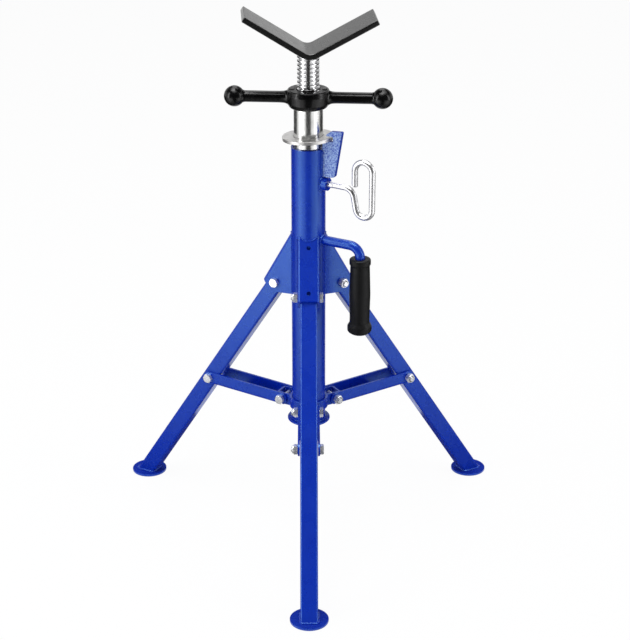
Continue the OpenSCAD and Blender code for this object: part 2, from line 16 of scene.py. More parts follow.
import bmesh
import bpy
import numpy as np
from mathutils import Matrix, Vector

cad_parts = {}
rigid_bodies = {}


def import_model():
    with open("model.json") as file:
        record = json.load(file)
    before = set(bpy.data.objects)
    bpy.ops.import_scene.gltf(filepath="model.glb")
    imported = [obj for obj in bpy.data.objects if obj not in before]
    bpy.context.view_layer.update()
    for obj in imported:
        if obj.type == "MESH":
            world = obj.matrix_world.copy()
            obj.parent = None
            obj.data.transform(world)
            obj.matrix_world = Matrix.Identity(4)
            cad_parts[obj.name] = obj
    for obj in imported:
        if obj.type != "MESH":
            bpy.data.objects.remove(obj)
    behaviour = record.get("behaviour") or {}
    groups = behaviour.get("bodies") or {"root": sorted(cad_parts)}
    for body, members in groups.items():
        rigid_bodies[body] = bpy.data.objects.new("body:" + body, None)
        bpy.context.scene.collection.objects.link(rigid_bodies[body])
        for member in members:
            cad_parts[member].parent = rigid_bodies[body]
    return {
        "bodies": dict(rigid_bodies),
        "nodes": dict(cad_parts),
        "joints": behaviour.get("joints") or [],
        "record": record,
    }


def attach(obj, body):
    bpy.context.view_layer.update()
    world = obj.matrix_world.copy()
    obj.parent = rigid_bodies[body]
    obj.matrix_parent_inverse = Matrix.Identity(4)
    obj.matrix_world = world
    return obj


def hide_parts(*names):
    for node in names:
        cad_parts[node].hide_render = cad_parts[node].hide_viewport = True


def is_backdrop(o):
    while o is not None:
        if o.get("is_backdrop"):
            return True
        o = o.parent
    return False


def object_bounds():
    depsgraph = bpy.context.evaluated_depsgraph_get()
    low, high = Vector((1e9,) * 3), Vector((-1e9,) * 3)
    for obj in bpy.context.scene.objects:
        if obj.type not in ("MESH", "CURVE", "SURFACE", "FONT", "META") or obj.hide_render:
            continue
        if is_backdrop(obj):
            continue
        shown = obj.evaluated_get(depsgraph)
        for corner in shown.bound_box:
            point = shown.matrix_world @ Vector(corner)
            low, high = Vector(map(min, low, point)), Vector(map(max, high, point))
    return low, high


Array = np.ndarray
Triple = tuple[float, float, float]
Colour = Triple
Socket = bpy.types.NodeSocket
Inputs = dict[str | int, object]

MM = 0.001
UP: Triple = (0.0, 0.0, 1.0)
ROUNDED = 50.0  # degrees; on a piece with rounded edges, an edge that turns more stays sharp
LOG = logging.getLogger("pipe_stand")


class Leg(Enum):
    """The three legs, by their direction round the mast in degrees."""

    front = 270.0
    right = 30.0
    left = 150.0


class Slot(Enum):
    """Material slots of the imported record."""

    blue = "blue_paint"
    zinc = "zinc_plate"
    steel = "bright_tube"
    iron = "black_iron"
    rubber = "grip_rubber"
    black = "black_paint"


@dataclass(frozen=True)
class Sizes:
    """The stand's driving sizes, in millimetres and degrees, as its construction has them."""

    mast_r: float = 25.0
    mast_low_z: float = 171.5
    mast_top_z: float = 600.0
    stop_r: float = 32.0
    stop_t: float = 3.0
    leg_w: float = 25.0
    leg_corner: float = 3.5
    leg_angle: float = 33.5
    pivot_r: float = 49.0
    pivot_z: float = 386.5
    foot_t: float = 4.0
    foot_r: float = 27.5
    half_out: float = 16.0
    half_in: float = 13.0
    web_angle: float = 30.2
    web_face: float = 18.541
    hub_r: float = 40.5
    hub_z: float = 197.0
    turn_gap: float = 0.3
    link_drop: float = 221.0
    collar_r: float = 29.0
    collar_bore_r: float = 25.4
    collar_low_z: float = 190.0
    collar_h: float = 16.0
    lug_half: float = 12.5
    bolt_d: float = 8.0
    hex_af: float = 13.0
    head_h: float = 5.3
    nut_h: float = 6.0
    nut_collar_h: float = 2.0
    bolt_show: float = 2.0
    tube_top_z: float = 658.0
    hook_azimuth: float = -30.0
    hook_t: float = 7.0
    hook_low_z: float = 559.0
    pin_d: float = 9.0
    pin_z: float = 548.5
    boss_r: float = 9.5
    plate_r: float = 37.5
    plate_bore_r: float = 21.65
    plate_h: float = 5.0
    plate_z: float = 613.4
    plate_tilt: float = 2.8
    bar_d: float = 14.0
    bar_z: float = 462.0
    grip_axis_r: float = 86.0
    grip_low_z: float = 327.5
    grip_len: float = 117.5
    screw_r: float = 16.0
    screw_low_z: float = 554.7
    jack_h: float = 26.7
    jack_r: float = 30.5
    jack_bore_r: float = 16.4
    arm_z: float = 14.5
    arm_d: float = 16.5
    arm_len: float = 105.0
    ball_d: float = 30.0
    arm_azimuth: float = -4.1
    head_azimuth: float = 3.3
    head_tilt: float = 2.0
    head_low_z: float = 734.7
    head_bend: float = 16.0
    head_t: float = 8.0
    head_w: float = 70.0
    head_rise: float = 30.0
    head_span: float = 183.0

    @property
    def leg_dir(self) -> Array:
        """Unit vector down a leg, as radius and height."""
        a = math.radians(self.leg_angle)
        return np.array([math.sin(a), -math.cos(a)])

    @property
    def pivot(self) -> Array:
        """A leg's top pivot, as radius and height."""
        return np.array([self.pivot_r, self.pivot_z])

    @property
    def link_end(self) -> Array:
        """A link's outer pivot, as radius and height."""
        return self.pivot + self.link_drop * self.leg_dir

    @property
    def hub(self) -> Array:
        """A link's hub pivot, as radius and height."""
        return np.array([self.hub_r, self.hub_z])

    @property
    def foot_centre_r(self) -> float:
        """Radius at which a leg's centre line meets its foot disc."""
        return self.pivot_r + (self.pivot_z - self.foot_t) * math.tan(math.radians(self.leg_angle))

    def head_under(self, x: Array) -> Array:
        """Height of the V head's underside at a distance x across the screw.

        In the head's own frame it is an arc of the bend's outer radius, and past it a straight line at the
        arms' rise. The head's tilt lowers it by x times the tilt's tangent.

        Args:
            x: Distances across the V, in millimetres.

        Returns:
            Heights, in millimetres.
        """
        radius = self.head_bend + self.head_t
        rise = math.radians(self.head_rise)
        edge = radius * math.sin(rise)
        reach = np.abs(x)
        arc = self.head_low_z + radius - np.sqrt(np.maximum(radius**2 - np.minimum(reach, edge) ** 2, 0.0))
        slope = np.maximum(reach - edge, 0.0) * math.tan(rise)
        return arc + slope - x * math.tan(math.radians(self.head_tilt))


# Surfaces


@dataclass
class Surface:
    """Points and faces of one shell or several, in millimetres.

    Attributes:
        points: Array of shape (n, 3).
        quads: Array of shape (m, 4) of point numbers.
    """

    points: Array
    quads: Array

    @staticmethod
    def grid(points: Array, close_u: bool = False, close_v: bool = False) -> Surface:
        """A surface from a grid of points, one quad between each four neighbours.

        Args:
            points: Array of shape (u, v, 3).
            close_u: Whether the last row joins the first.
            close_v: Whether the last column joins the first.

        Returns:
            The surface.
        """
        rows, cols = points.shape[:2]
        number = np.arange(rows * cols).reshape(rows, cols)
        if close_u:
            number = np.vstack([number, number[:1]])
        if close_v:
            number = np.hstack([number, number[:, :1]])
        quads = np.stack([number[:-1, :-1], number[1:, :-1], number[1:, 1:], number[:-1, 1:]], -1)
        return Surface(points.reshape(-1, 3), quads.reshape(-1, 4))

    def __add__(self, other: Surface) -> Surface:
        """Both surfaces as one."""
        quads = np.vstack([self.quads, other.quads + len(self.points)])
        return Surface(np.vstack([self.points, other.points]), quads)

    def moved(self, x: float = 0.0, z: float = 0.0) -> Surface:
        """The surface moved along X and Z."""
        return Surface(self.points + (x, 0.0, z), self.quads)

    def tipped(self, degrees: float) -> Surface:
        """The surface tipped about the Y axis, its +X side up."""
        a = math.radians(degrees)
        turn = np.array([[math.cos(a), 0, math.sin(a)], [0, 1, 0], [-math.sin(a), 0, math.cos(a)]])
        return Surface(self.points @ turn, self.quads)

    def turned(self, degrees: float) -> Surface:
        """The surface turned about the mast's axis."""
        a = math.radians(degrees)
        turn = np.array([[math.cos(a), math.sin(a), 0], [-math.sin(a), math.cos(a), 0], [0, 0, 1]])
        return Surface(self.points @ turn, self.quads)

    def placed(self, origin: Triple, x: Triple, y: Triple, z: Triple) -> Surface:
        """The surface carried into the frame of an origin and three axes."""
        return Surface(self.points @ np.array([x, y, z], float) + np.asarray(origin, float), self.quads)


def joined(surfaces: Sequence[Surface]) -> Surface:
    """Several surfaces as one."""
    total = surfaces[0]
    for surface in surfaces[1:]:
        total = total + surface
    return total


def angles(count: int) -> Array:
    """Evenly spaced angles round a full circle, in radians."""
    return np.linspace(0.0, 2.0 * math.pi, count, endpoint=False)


def around(radius: Array | float, angle: Array, height: Array | float) -> Array:
    """Points round the Z axis: the radius times the angle's cosine and sine, and the height."""
    return np.stack(np.broadcast_arrays(radius * np.cos(angle), radius * np.sin(angle), height), -1)


def circle(radius: float, sides: int = 24) -> Array:
    """A round section."""
    a = angles(sides)
    return radius * np.stack([np.cos(a), np.sin(a)], -1)


def revolved(profile: Array, sides: int = 64) -> Surface:
    """A profile of radius and height carried round the Z axis.

    Args:
        profile: Array of shape (n, 2). Points at radius 0 become poles.
        sides: Number of columns round the axis.

    Returns:
        The surface.
    """
    return Surface.grid(around(profile[:, :1], angles(sides), profile[:, 1:]), close_v=True)


def rounded_profile(corners: Sequence[tuple[float, float, float]], steps: int = 6) -> Array:
    """A chain of straight lines with an arc of its own radius in each corner.

    Each corner point is moved back along both lines by the radius over the tangent of the half angle, and
    the arc between those two points is drawn about the corner's centre.

    Args:
        corners: (x, y, radius) of each corner; the first and last stay sharp.
        steps: Number of steps in each arc.

    Returns:
        Array of shape (n, 2).
    """
    points = [np.array(corners[0][:2], float)]
    for before, here, after in zip(corners, corners[1:], corners[2:]):
        p, q, s = (np.array(c[:2], float) for c in (before, here, after))
        u, v = (p - q) / np.linalg.norm(p - q), (s - q) / np.linalg.norm(s - q)
        half = math.acos(float(np.clip(u @ v, -1.0, 1.0))) / 2.0
        radius = here[2]
        if radius <= 0.0 or half > math.pi / 2 - 1e-3:
            points.append(q)
            continue
        centre = q + (u + v) / np.linalg.norm(u + v) * radius / math.sin(half)
        start, end = q + u * radius / math.tan(half) - centre, q + v * radius / math.tan(half) - centre
        t = np.linspace(0.0, 1.0, steps + 1)[:, None]
        sweep = math.acos(float(np.clip(start @ end / radius**2, -1.0, 1.0)))
        arc = (np.sin((1 - t) * sweep) * start + np.sin(t * sweep) * end) / math.sin(sweep)
        points.extend(centre + arc)
    points.append(np.array(corners[-1][:2], float))
    return np.array(points)


def carried(path: Array, section: Array, across: Triple, closed: bool = False) -> Surface:
    """A closed section carried along a path.

    At each path point the section's second axis is `across`, made square to the path, and its first axis is
    square to both. An open path's ends are closed with a fan to their middle.

    Args:
        path: Array of shape (n, 3).
        section: Array of shape (m, 2), or (n, m, 2) where the section changes along the path.
        across: The direction of the section's second axis.
        closed: Whether the path's end joins its start.

    Returns:
        The surface.
    """
    if closed:
        tangent = np.roll(path, -1, 0) - np.roll(path, 1, 0)
    else:
        tangent = np.gradient(path, axis=0)
    tangent = tangent / np.linalg.norm(tangent, axis=1, keepdims=True)
    side = np.broadcast_to(np.asarray(across, float), path.shape)
    side = side - np.sum(side * tangent, 1, keepdims=True) * tangent
    side = side / np.linalg.norm(side, axis=1, keepdims=True)
    first = np.cross(side, tangent)
    section = np.broadcast_to(section, (len(path),) + section.shape[-2:])
    rings = path[:, None] + section[..., :1] * first[:, None] + section[..., 1:] * side[:, None]
    if not closed:
        middle = np.broadcast_to(rings.mean(1, keepdims=True), rings.shape)
        rings = np.concatenate([middle[:1], rings, middle[-1:]])
    return Surface.grid(rings, close_u=closed, close_v=True)


def even(path: Array, spacing: float, closed: bool = False) -> Array:
    """A path's points respaced evenly along it.

    Args:
        path: Array of shape (n, 3).
        spacing: Distance between the new points.
        closed: Whether the path's end joins its start.

    Returns:
        Array of shape (m, 3).
    """
    if closed:
        path = np.vstack([path, path[:1]])
    lengths = np.concatenate([[0.0], np.cumsum(np.linalg.norm(np.diff(path, axis=0), axis=1))])
    count = max(4, int(round(lengths[-1] / spacing)) + 1)
    where = np.linspace(0.0, lengths[-1], count)
    points = np.stack([np.interp(where, lengths, path[:, k]) for k in range(3)], -1)
    return points[:-1] if closed else points


# Finishes


class Graph:
    """A node tree, built a node at a time."""

    def __init__(self, tree: bpy.types.NodeTree) -> None:
        """Start with the tree emptied."""
        self.tree = tree
        self.tree.nodes.clear()

    def add(self, kind: str, inputs: Inputs | None = None, **settings: str) -> bpy.types.Node:
        """Add a node.

        Args:
            kind: The node's type.
            inputs: For its inputs, by name or number, the socket that each is linked to or its value.
            settings: The node's own settings.

        Returns:
            The node.
        """
        node = self.tree.nodes.new(kind)
        for name, value in settings.items():
            setattr(node, name, value)
        for key, value in (inputs or {}).items():
            if isinstance(value, bpy.types.NodeSocket):
                self.tree.links.new(value, node.inputs[key])
            else:
                node.inputs[key].default_value = value
        return node

    def maths(self, operation: str, first: Socket, second: Socket | float = 0.0) -> Socket:
        """The result of one Math node."""
        return self.add("ShaderNodeMath", {0: first, 1: second}, operation=operation).outputs[0]

    def looked_at(self) -> Socket:
        """A socket that is 1 on camera, glossy and transmission rays, and 0 on the others."""
        rays = self.add("ShaderNodeLightPath").outputs
        seen = self.maths("MAXIMUM", rays["Is Camera Ray"], rays["Is Glossy Ray"])
        return self.maths("MAXIMUM", seen, rays["Is Transmission Ray"])

    def glow(self, strength: float) -> Socket:
        """White light of its own, where a strength of 1 is white."""
        inputs = {"Color": (1.0, 1.0, 1.0, 1.0), "Strength": strength}
        return self.add("ShaderNodeEmission", inputs).outputs[0]

    def mixed(self, share: Socket, first: Socket, second: Socket) -> Socket:
        """Two shaders mixed, with the share that the second has."""
        return self.add("ShaderNodeMixShader", {"Fac": share, 1: first, 2: second}).outputs[0]

    def show(self, surface: Socket, kind: str = "ShaderNodeOutputMaterial") -> None:
        """Send a shader to the tree's output."""
        self.add(kind, {"Surface": surface})


class Shader(Graph):
    """A finish's nodes, whose patterns lie in the piece's own coordinates."""

    def __init__(self, tree: bpy.types.NodeTree) -> None:
        """Start with the coordinates alone."""
        super().__init__(tree)
        self.place = self.add("ShaderNodeTexCoord").outputs["Object"]

    def noise(self, scale: float, stretch: Triple = (1.0, 1.0, 1.0)) -> Socket:
        """Noise of three octaves.

        Args:
            scale: Features per metre.
            stretch: Scale along each axis.

        Returns:
            The noise's value.
        """
        mapping = self.add("ShaderNodeMapping", {"Vector": self.place, "Scale": stretch})
        inputs = {"Vector": mapping.outputs["Vector"], "Scale": scale, "Detail": 3.0}
        return self.add("ShaderNodeTexNoise", inputs).outputs["Fac"]

    def past_plane(self, value: Socket, azimuth: float, half: float) -> Socket:
        """A value kept past a distance from an upright plane through the mast's axis, and 0 nearer to it.

        The distance is the size of the place's dot product with the plane's normal.

        Args:
            value: The value.
            azimuth: The plane's direction round the mast, in degrees.
            half: The distance, in metres.

        Returns:
            The value, or 0 nearer to the plane.
        """
        a = math.radians(azimuth)
        normal = (-math.sin(a), math.cos(a), 0.0)
        dot = self.add("ShaderNodeVectorMath", {0: self.place, 1: normal}, operation="DOT_PRODUCT")
        distance = self.maths("ABSOLUTE", dot.outputs["Value"])
        return self.maths("MULTIPLY", value, self.maths("GREATER_THAN", distance, half))

    def spread(self, value: Socket, low: float, high: float) -> Socket:
        """A noise value spread over a range, taken between its usual 0.3 and 0.7."""
        inputs = {"Value": value, "From Min": 0.3, "From Max": 0.7, "To Min": low, "To Max": high}
        return self.add("ShaderNodeMapRange", inputs).outputs["Result"]

    def ramp(self, value: Socket, low: Colour, high: Colour, steps: tuple[float, float]) -> Socket:
        """The colour between two colours, which are reached at two steps of a value."""
        ramp = self.add("ShaderNodeValToRGB", {"Fac": value})
        for element, step, colour in zip(ramp.color_ramp.elements, steps, (low, high)):
            element.position = step
            element.color = (*colour, 1.0)
        return ramp.outputs["Color"]

    def bumps(self, grain: Sequence[tuple[float, float, float, Triple]]) -> Socket:
        """The normal over all the grain's bumps, each stacked on the one before."""
        below = {}
        for scale, strength, depth, stretch in grain:
            inputs = {"Height": self.noise(scale, stretch), "Strength": strength, "Distance": depth, **below}
            below = {"Normal": self.add("ShaderNodeBump", inputs).outputs["Normal"]}
        return below["Normal"]


def new_material(name: str, nodes: type[Graph] = Graph) -> tuple[bpy.types.Material, Graph]:
    """An empty material and its node tree."""
    material = bpy.data.materials.new(name)
    material.use_nodes = True
    return material, nodes(material.node_tree)


@dataclass(frozen=True)
class Finish:
    """A surface finish.

    Attributes:
        name: The material's name.
        slot: The record's slot that it belongs to.
        low: First colour, linear.
        high: Second colour, linear.
        grain: (features per metre, strength, depth in metres, stretch along each axis) of each bump.
        metal: 1 on bare metal.
        rough: Lowest and highest roughness.
        mottle: Features per metre of the colour's variation.
        specular: Specular level.
        tint: Colour of the reflection seen straight on.
        side: Direction of a plate's plane in degrees and a distance from it in metres, past which the second
        colour shows; None for the same look all over. Here it splits painted light between faces: the
        V head's top is painted lighter than its front and back as sheen, and the hook plate's faces get
        painted glints that its edges lack.
        steps: Noise values at which the first and the second colour are reached.
    """

    name: str
    slot: Slot
    low: Colour
    high: Colour
    grain: tuple[tuple[float, float, float, Triple], ...]
    metal: float = 0.0
    rough: tuple[float, float] = (0.3, 0.4)
    mottle: float = 30.0
    specular: float = 0.5
    tint: Colour = (1.0, 1.0, 1.0)
    side: tuple[float, float] | None = None
    steps: tuple[float, float] = (0.35, 0.65)

    def material(self) -> bpy.types.Material:
        """Build the finish's material, or find the one built before."""
        found = bpy.data.materials.get(self.name)
        if found is not None:
            return found
        material, shader = new_material(self.name, Shader)
        value = shader.noise(self.mottle)
        if self.side is not None:
            value = shader.past_plane(value, *self.side)
        surface = shader.add("ShaderNodeBsdfPrincipled", {
            "Base Color": shader.ramp(value, self.low, self.high, self.steps),
            "Metallic": self.metal,
            "Roughness": shader.spread(shader.noise(self.mottle * 2.3), *self.rough),
            "Specular IOR Level": self.specular,
            "Specular Tint": (*self.tint, 1.0),
            "Normal": shader.bumps(self.grain),
        })
        shader.show(surface.outputs[0])
        return material


EVEN: Colour = (1.0, 1.0, 1.0)
POWDER_COAT = Finish(
    "royal_blue_powder_coat", Slot.blue, (0.0006, 0.018, 0.370), (0.0010, 0.022, 0.395),
    rough=(0.25, 0.31), mottle=22.0, specular=1.0, tint=(0.34, 0.72, 1.0),
    grain=((750.0, 0.08, 0.0003, EVEN), (120.0, 0.04, 0.0005, EVEN)),
)
# Painted glints: pale blue speckles are painted on the hook plate's two faces as light caught by the rough
# casting, beside the bumps that give it real texture; its thin edge faces keep the plain blue.
CAST_BLUE_PAINTED_GLINTS = Finish(
    "royal_blue_on_casting", Slot.blue, (0.004, 0.030, 0.36), (0.30, 0.42, 0.68),
    rough=(0.30, 0.44), mottle=520.0, specular=0.7, tint=(0.6, 0.8, 1.0),
    grain=((620.0, 0.6, 0.0006, EVEN), (1500.0, 0.3, 0.0003, EVEN)), side=(-30.0, 0.0033),
)
ZINC = Finish(
    "bright_zinc_plate", Slot.zinc, (0.80, 0.81, 0.83), (0.92, 0.93, 0.95), metal=0.75,
    rough=(0.18, 0.26), mottle=160.0, grain=((900.0, 0.03, 0.0001, EVEN),),
)
PLATE_ZINC = Finish(
    "zinc_on_ground_plate", Slot.zinc, (0.56, 0.55, 0.54), (0.70, 0.69, 0.68), metal=0.85,
    rough=(0.28, 0.36), mottle=120.0, grain=((500.0, 0.05, 0.0001, EVEN),),
)
SATIN_ZINC = Finish(
    "satin_zinc_rod", Slot.zinc, (0.74, 0.74, 0.75), (0.86, 0.86, 0.87), metal=1.0,
    rough=(0.30, 0.40), mottle=220.0, grain=((700.0, 0.10, 0.0001, EVEN),),
)
DRAWN_STEEL = Finish(
    "bright_drawn_steel", Slot.steel, (0.68, 0.68, 0.67), (0.80, 0.80, 0.79), metal=1.0,
    rough=(0.19, 0.26), mottle=60.0, grain=((1400.0, 0.04, 0.0001, (1.0, 1.0, 0.03)),),
)
SCREW_STEEL = Finish(
    "plated_screw_steel", Slot.steel, (0.70, 0.70, 0.71), (0.84, 0.84, 0.85), metal=1.0,
    rough=(0.10, 0.18), mottle=90.0, grain=((1200.0, 0.03, 0.0001, EVEN),),
)
IRON_ENAMEL = Finish(
    "black_enamel_on_iron", Slot.iron, (0.0012, 0.0012, 0.0013), (0.0026, 0.0026, 0.0028),
    rough=(0.18, 0.26), mottle=70.0, specular=0.30,
    grain=((240.0, 0.35, 0.0007, EVEN), (900.0, 0.18, 0.0003, EVEN)),
)
# Painted sheen: the V head's top, underside, ends and weld get a lighter grey than its front and back faces,
# which keep the paint's own black.
HEAD_BLACK_WITH_PAINTED_SHEEN = Finish(
    "satin_black_paint", Slot.black, (0.012, 0.012, 0.012), (0.0016, 0.0016, 0.0017),
    rough=(0.26, 0.32), mottle=35.0, specular=1.0, side=(3.3, 0.0338), steps=(0.0, 0.25),
    grain=((520.0, 0.04, 0.0002, EVEN),),
)
RUBBER = Finish(
    "moulded_black_rubber", Slot.rubber, (0.0040, 0.0040, 0.0044), (0.0062, 0.0062, 0.0066),
    rough=(0.42, 0.52), mottle=60.0, grain=((1100.0, 0.22, 0.0002, EVEN),), specular=0.2,
)
NYLON = Finish(
    "nylon_lock_ring", Slot.zinc, (0.030, 0.032, 0.036), (0.05, 0.053, 0.06),
    rough=(0.4, 0.5), mottle=200.0, grain=((1500.0, 0.1, 0.0001, EVEN),),
)


# Pieces


def keep_flat(piece: bpy.types.Object) -> None:
    """Weight a piece's shading by face area, so that large faces look flat up to their rounded edges."""
    weighted = piece.modifiers.new("flat_faces", "WEIGHTED_NORMAL")
    weighted.mode = "FACE_AREA"
    weighted.keep_sharp = True
    weighted.weight = 100


def publish(
    name: str,
    surface: Surface,
    finish: Finish,
    body: str,
    replaces: Sequence[str] = (),
    sharp: float = 35.0,
    flat: bool = False,
) -> bpy.types.Object:
    """Make a surface a piece of the stand that rides on a body.

    Args:
        name: The piece's name.
        surface: Its surface, in millimetres.
        finish: Its finish.
        body: The body that carries it.
        replaces: CAD nodes that it stands for.
        sharp: Edges that turn more than this many degrees stay sharp.
        flat: Whether its large faces are kept flat in the shading beside their rounded edges.

    Returns:
        The piece's object.
    """
    mesh = bpy.data.meshes.new(name)
    mesh.from_pydata((surface.points * MM).tolist(), [], surface.quads.tolist())
    work = bmesh.new()
    work.from_mesh(mesh)
    bmesh.ops.remove_doubles(work, verts=work.verts, dist=2e-7)
    bmesh.ops.dissolve_degenerate(work, edges=work.edges, dist=1e-8)
    bmesh.ops.recalc_face_normals(work, faces=work.faces)
    work.to_mesh(mesh)
    work.free()
    mesh.polygons.foreach_set("use_smooth", np.ones(len(mesh.polygons), bool))
    mesh.set_sharp_from_angle(angle=math.radians(sharp))
    mesh.materials.append(finish.material())
    piece = bpy.data.objects.new(name, mesh)
    bpy.context.scene.collection.objects.link(piece)
    if flat:
        keep_flat(piece)
    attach(piece, body)
    if replaces:
        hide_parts(*replaces)
    LOG.info("made %s: %d faces on %s", name, len(mesh.polygons), body)
    return piece


def bead(path: Array, size: float, across: Triple, closed: bool = False) -> Surface:
    """A weld bead: a round section carried along a seam, swelling and sinking a little with each ripple.

    The section's radius is the size times one plus a small cosine of the distance along the seam and a slow
    sine of it, and an open bead tapers to a rounded end.

    Args:
        path: The seam, of shape (n, 3).
        size: The bead's radius.
        across: A direction square to the seam.
        closed: Whether the seam is a ring.

    Returns:
        The surface.
    """
    ripple, swell, step = 2.6, 0.09, 0.65
    wander, wander_rate, least = 0.04, 0.37, 0.02
    dense = even(path, step, closed)
    run = np.arange(len(dense)) * step
    radius = size * (1.0 + swell * np.cos(2.0 * math.pi * run / ripple) + wander * np.sin(run * wander_rate))
    if not closed:
        from_end = np.clip(np.minimum(run, run[-1] - run) / size, 0.0, 1.0)
        radius = radius * np.sqrt(np.clip(1.0 - (1.0 - from_end) ** 2, least, 1.0))
    return carried(dense, radius[:, None, None] * circle(1.0, 10), across, closed)


def seams(radius: float, half: float, low: float, high: float, size: float) -> list[Surface]:
    """A bead up a tube on each side of a plate that stands square on it.

    Each lies where the plate's side meets the tube, at the root of the radius squared less the half squared.

    Args:
        radius: The tube's radius.
        half: Distance of each bead from the radial plane.
        low: Where the beads start.
        high: Where they end.
        size: Their radius.

    Returns:
        The two beads.
    """
    x = math.sqrt(radius**2 - half**2)
    return [bead(np.array([[x, y, low], [x, y, high]]), size, (x, y, 0.0)) for y in (-half, half)]


@dataclass
class Fasteners:
    """Hex bolts and locking nuts, along Y in the radial plane, with their heads on the +Y side.

    Attributes:
        sizes: The stand's sizes.
        chamfer: Radius of the hexagon's chamfer circle, as a share of half its width across flats.
        chamfer_angle: Slope of the chamfer, in degrees.
        pitch: Pitch of the thread.
        depth: Depth of the thread.
        thread_len: Length of thread on a whole bolt.
        stub_thread_len: Length of thread on a bolt whose middle is left out.
        hex_sides: Number of columns round a hexagon.
        rod_sides: Number of columns round a shank or a ring.
    """

    sizes: Sizes
    chamfer: float = 0.965
    chamfer_angle: float = 30.0
    pitch: float = 1.25
    depth: float = 0.55
    thread_len: float = 14.0
    stub_thread_len: float = 9.0
    hex_sides: int = 72
    rod_sides: int = 32

    def hexagon(self, height: float, chamfer_low: bool, bore: float) -> Surface:
        """A hexagon whose corners are cut back by a cone at one end or both.

        Its reach at an angle is half the width across flats over the cosine of the angle from the nearest
        flat. A side's height falls by its reach past the chamfer circle times the cone's slope.

        Args:
            height: The hexagon's height.
            chamfer_low: Whether the lower end is chamfered too.
            bore: Radius of the hole; 0 closes the ends.

        Returns:
            The surface, with its axis along Z and its seat at 0.
        """
        a = angles(self.hex_sides)
        reach = self.sizes.hex_af / 2.0 / np.cos((a + math.pi / 6.0) % (math.pi / 3.0) - math.pi / 6.0)
        ring = self.sizes.hex_af / 2.0 * self.chamfer
        fall = (reach - ring) * math.tan(math.radians(self.chamfer_angle))
        inner, crown = ring - 0.5, height + 0.02
        rows = [(bore, 0.0), (ring, 0.0), (reach, fall if chamfer_low else 0.0), (reach, height - fall),
                (ring, height), (inner, crown), (bore, crown)]
        return Surface.grid(np.array([around(r, a, z) for r, z in rows]), close_u=bore > 0.0, close_v=True)

    def shank(self, low: float, high: float, thread: float) -> Surface:
        """A bolt's shank from low to high, with thread grooves and a chamfer on its low end.

        Each groove's depth follows a cosine of the height, one turn to a pitch.

        Args:
            low: Where the tip is.
            high: Where the shank meets its head.
            thread: Length of the threaded stretch.

        Returns:
            The surface, along Z.
        """
        radius, end = self.sizes.bolt_d / 2.0, min(low + thread, high)
        z = np.arange(low + 0.9, end, self.pitch / 4.0)
        groove = radius - self.depth * (0.5 + 0.5 * np.cos(2.0 * math.pi * (z - low) / self.pitch))
        tip = [(0.0, low), (radius - 1.0, low), (radius - 0.9, low + 0.05), (radius - 0.25, low + 0.8)]
        profile = np.vstack([tip, np.stack([groove, z], -1), [(radius, end), (radius, high), (0.0, high)]])
        return revolved(profile, self.rod_sides)

    def across(self, surface: Surface, point: Array, offset: float, side: float, azimuth: float) -> Surface:
        """Stand a surface's Z axis along Y of a radial plane.

        Args:
            surface: The surface.
            point: Radius and height of the fastener's axis.
            offset: Where the surface's origin lies along Y.
            side: 1 where its Z axis points along +Y, -1 along -Y.
            azimuth: The radial plane's direction, in degrees.

        Returns:
            The surface in place.
        """
        frame = surface.placed((point[0], offset, point[1]), (0, 0, 1), (side, 0, 0), (0, side, 0))
        return frame.turned(azimuth)

    def bolt(self, point: Array, seat: float, azimuth: float, open_half: float | None = None) -> Surface:
        """A bolt: head, shank and tip, with its middle left out where a link's wall ends it.

        Args:
            point: Radius and height of its axis.
            seat: Distance from the radial plane to the face under its head.
            azimuth: The radial plane's direction.
            open_half: Half the width that the shank leaves free, or None for a whole shank.

        Returns:
            The surface.
        """
        s = self.sizes
        radius, tip = s.bolt_d / 2.0, -seat - s.nut_h - s.nut_collar_h - s.bolt_show
        head = self.hexagon(s.head_h, False, 0.0).moved(z=seat)
        if open_half is None:
            rods = [self.shank(tip, seat, self.thread_len)]
        else:
            stub = np.array([(0, open_half), (radius, open_half), (radius, seat), (0, seat)], float)
            rods = [revolved(stub, self.rod_sides), self.shank(tip, -open_half, self.stub_thread_len)]
        return self.across(joined([head, *rods]), point, 0.0, 1.0, azimuth)

    def nut(self, point: Array, seat: float, azimuth: float) -> Surface:
        """A locking nut: a chamfered hexagon under a collar that turns in over its ring."""
        s = self.sizes
        bore, rim = s.bolt_d / 2.0 + 0.1, s.hex_af / 2.0 - 0.55
        mouth, low, top = bore + 1.4, s.nut_h - 0.5, s.nut_h + s.nut_collar_h
        collar = rounded_profile([(mouth, low, 0), (rim, low, 0), (rim, top, 1.0), (mouth - 0.05, top, 0.2),
                                  (mouth, low, 0)], 5)
        shape = self.hexagon(s.nut_h, True, bore) + revolved(collar, 40)
        return self.across(shape, point, -seat, -1.0, azimuth)

    def lock_ring(self, point: Array, seat: float, azimuth: float) -> Surface:
        """The nylon ring held inside a nut's collar."""
        s = self.sizes
        bore, low, top = s.bolt_d / 2.0 + 0.02, s.nut_h, s.nut_h + s.nut_collar_h - 1.0
        rim = bore + 1.5
        ring = rounded_profile(
            [(bore, low, 0), (rim, low, 0), (rim, top, 0.2), (bore, top, 0.2), (bore, low, 0)], 3)
        return self.across(revolved(ring, self.rod_sides), point, -seat, -1.0, azimuth)

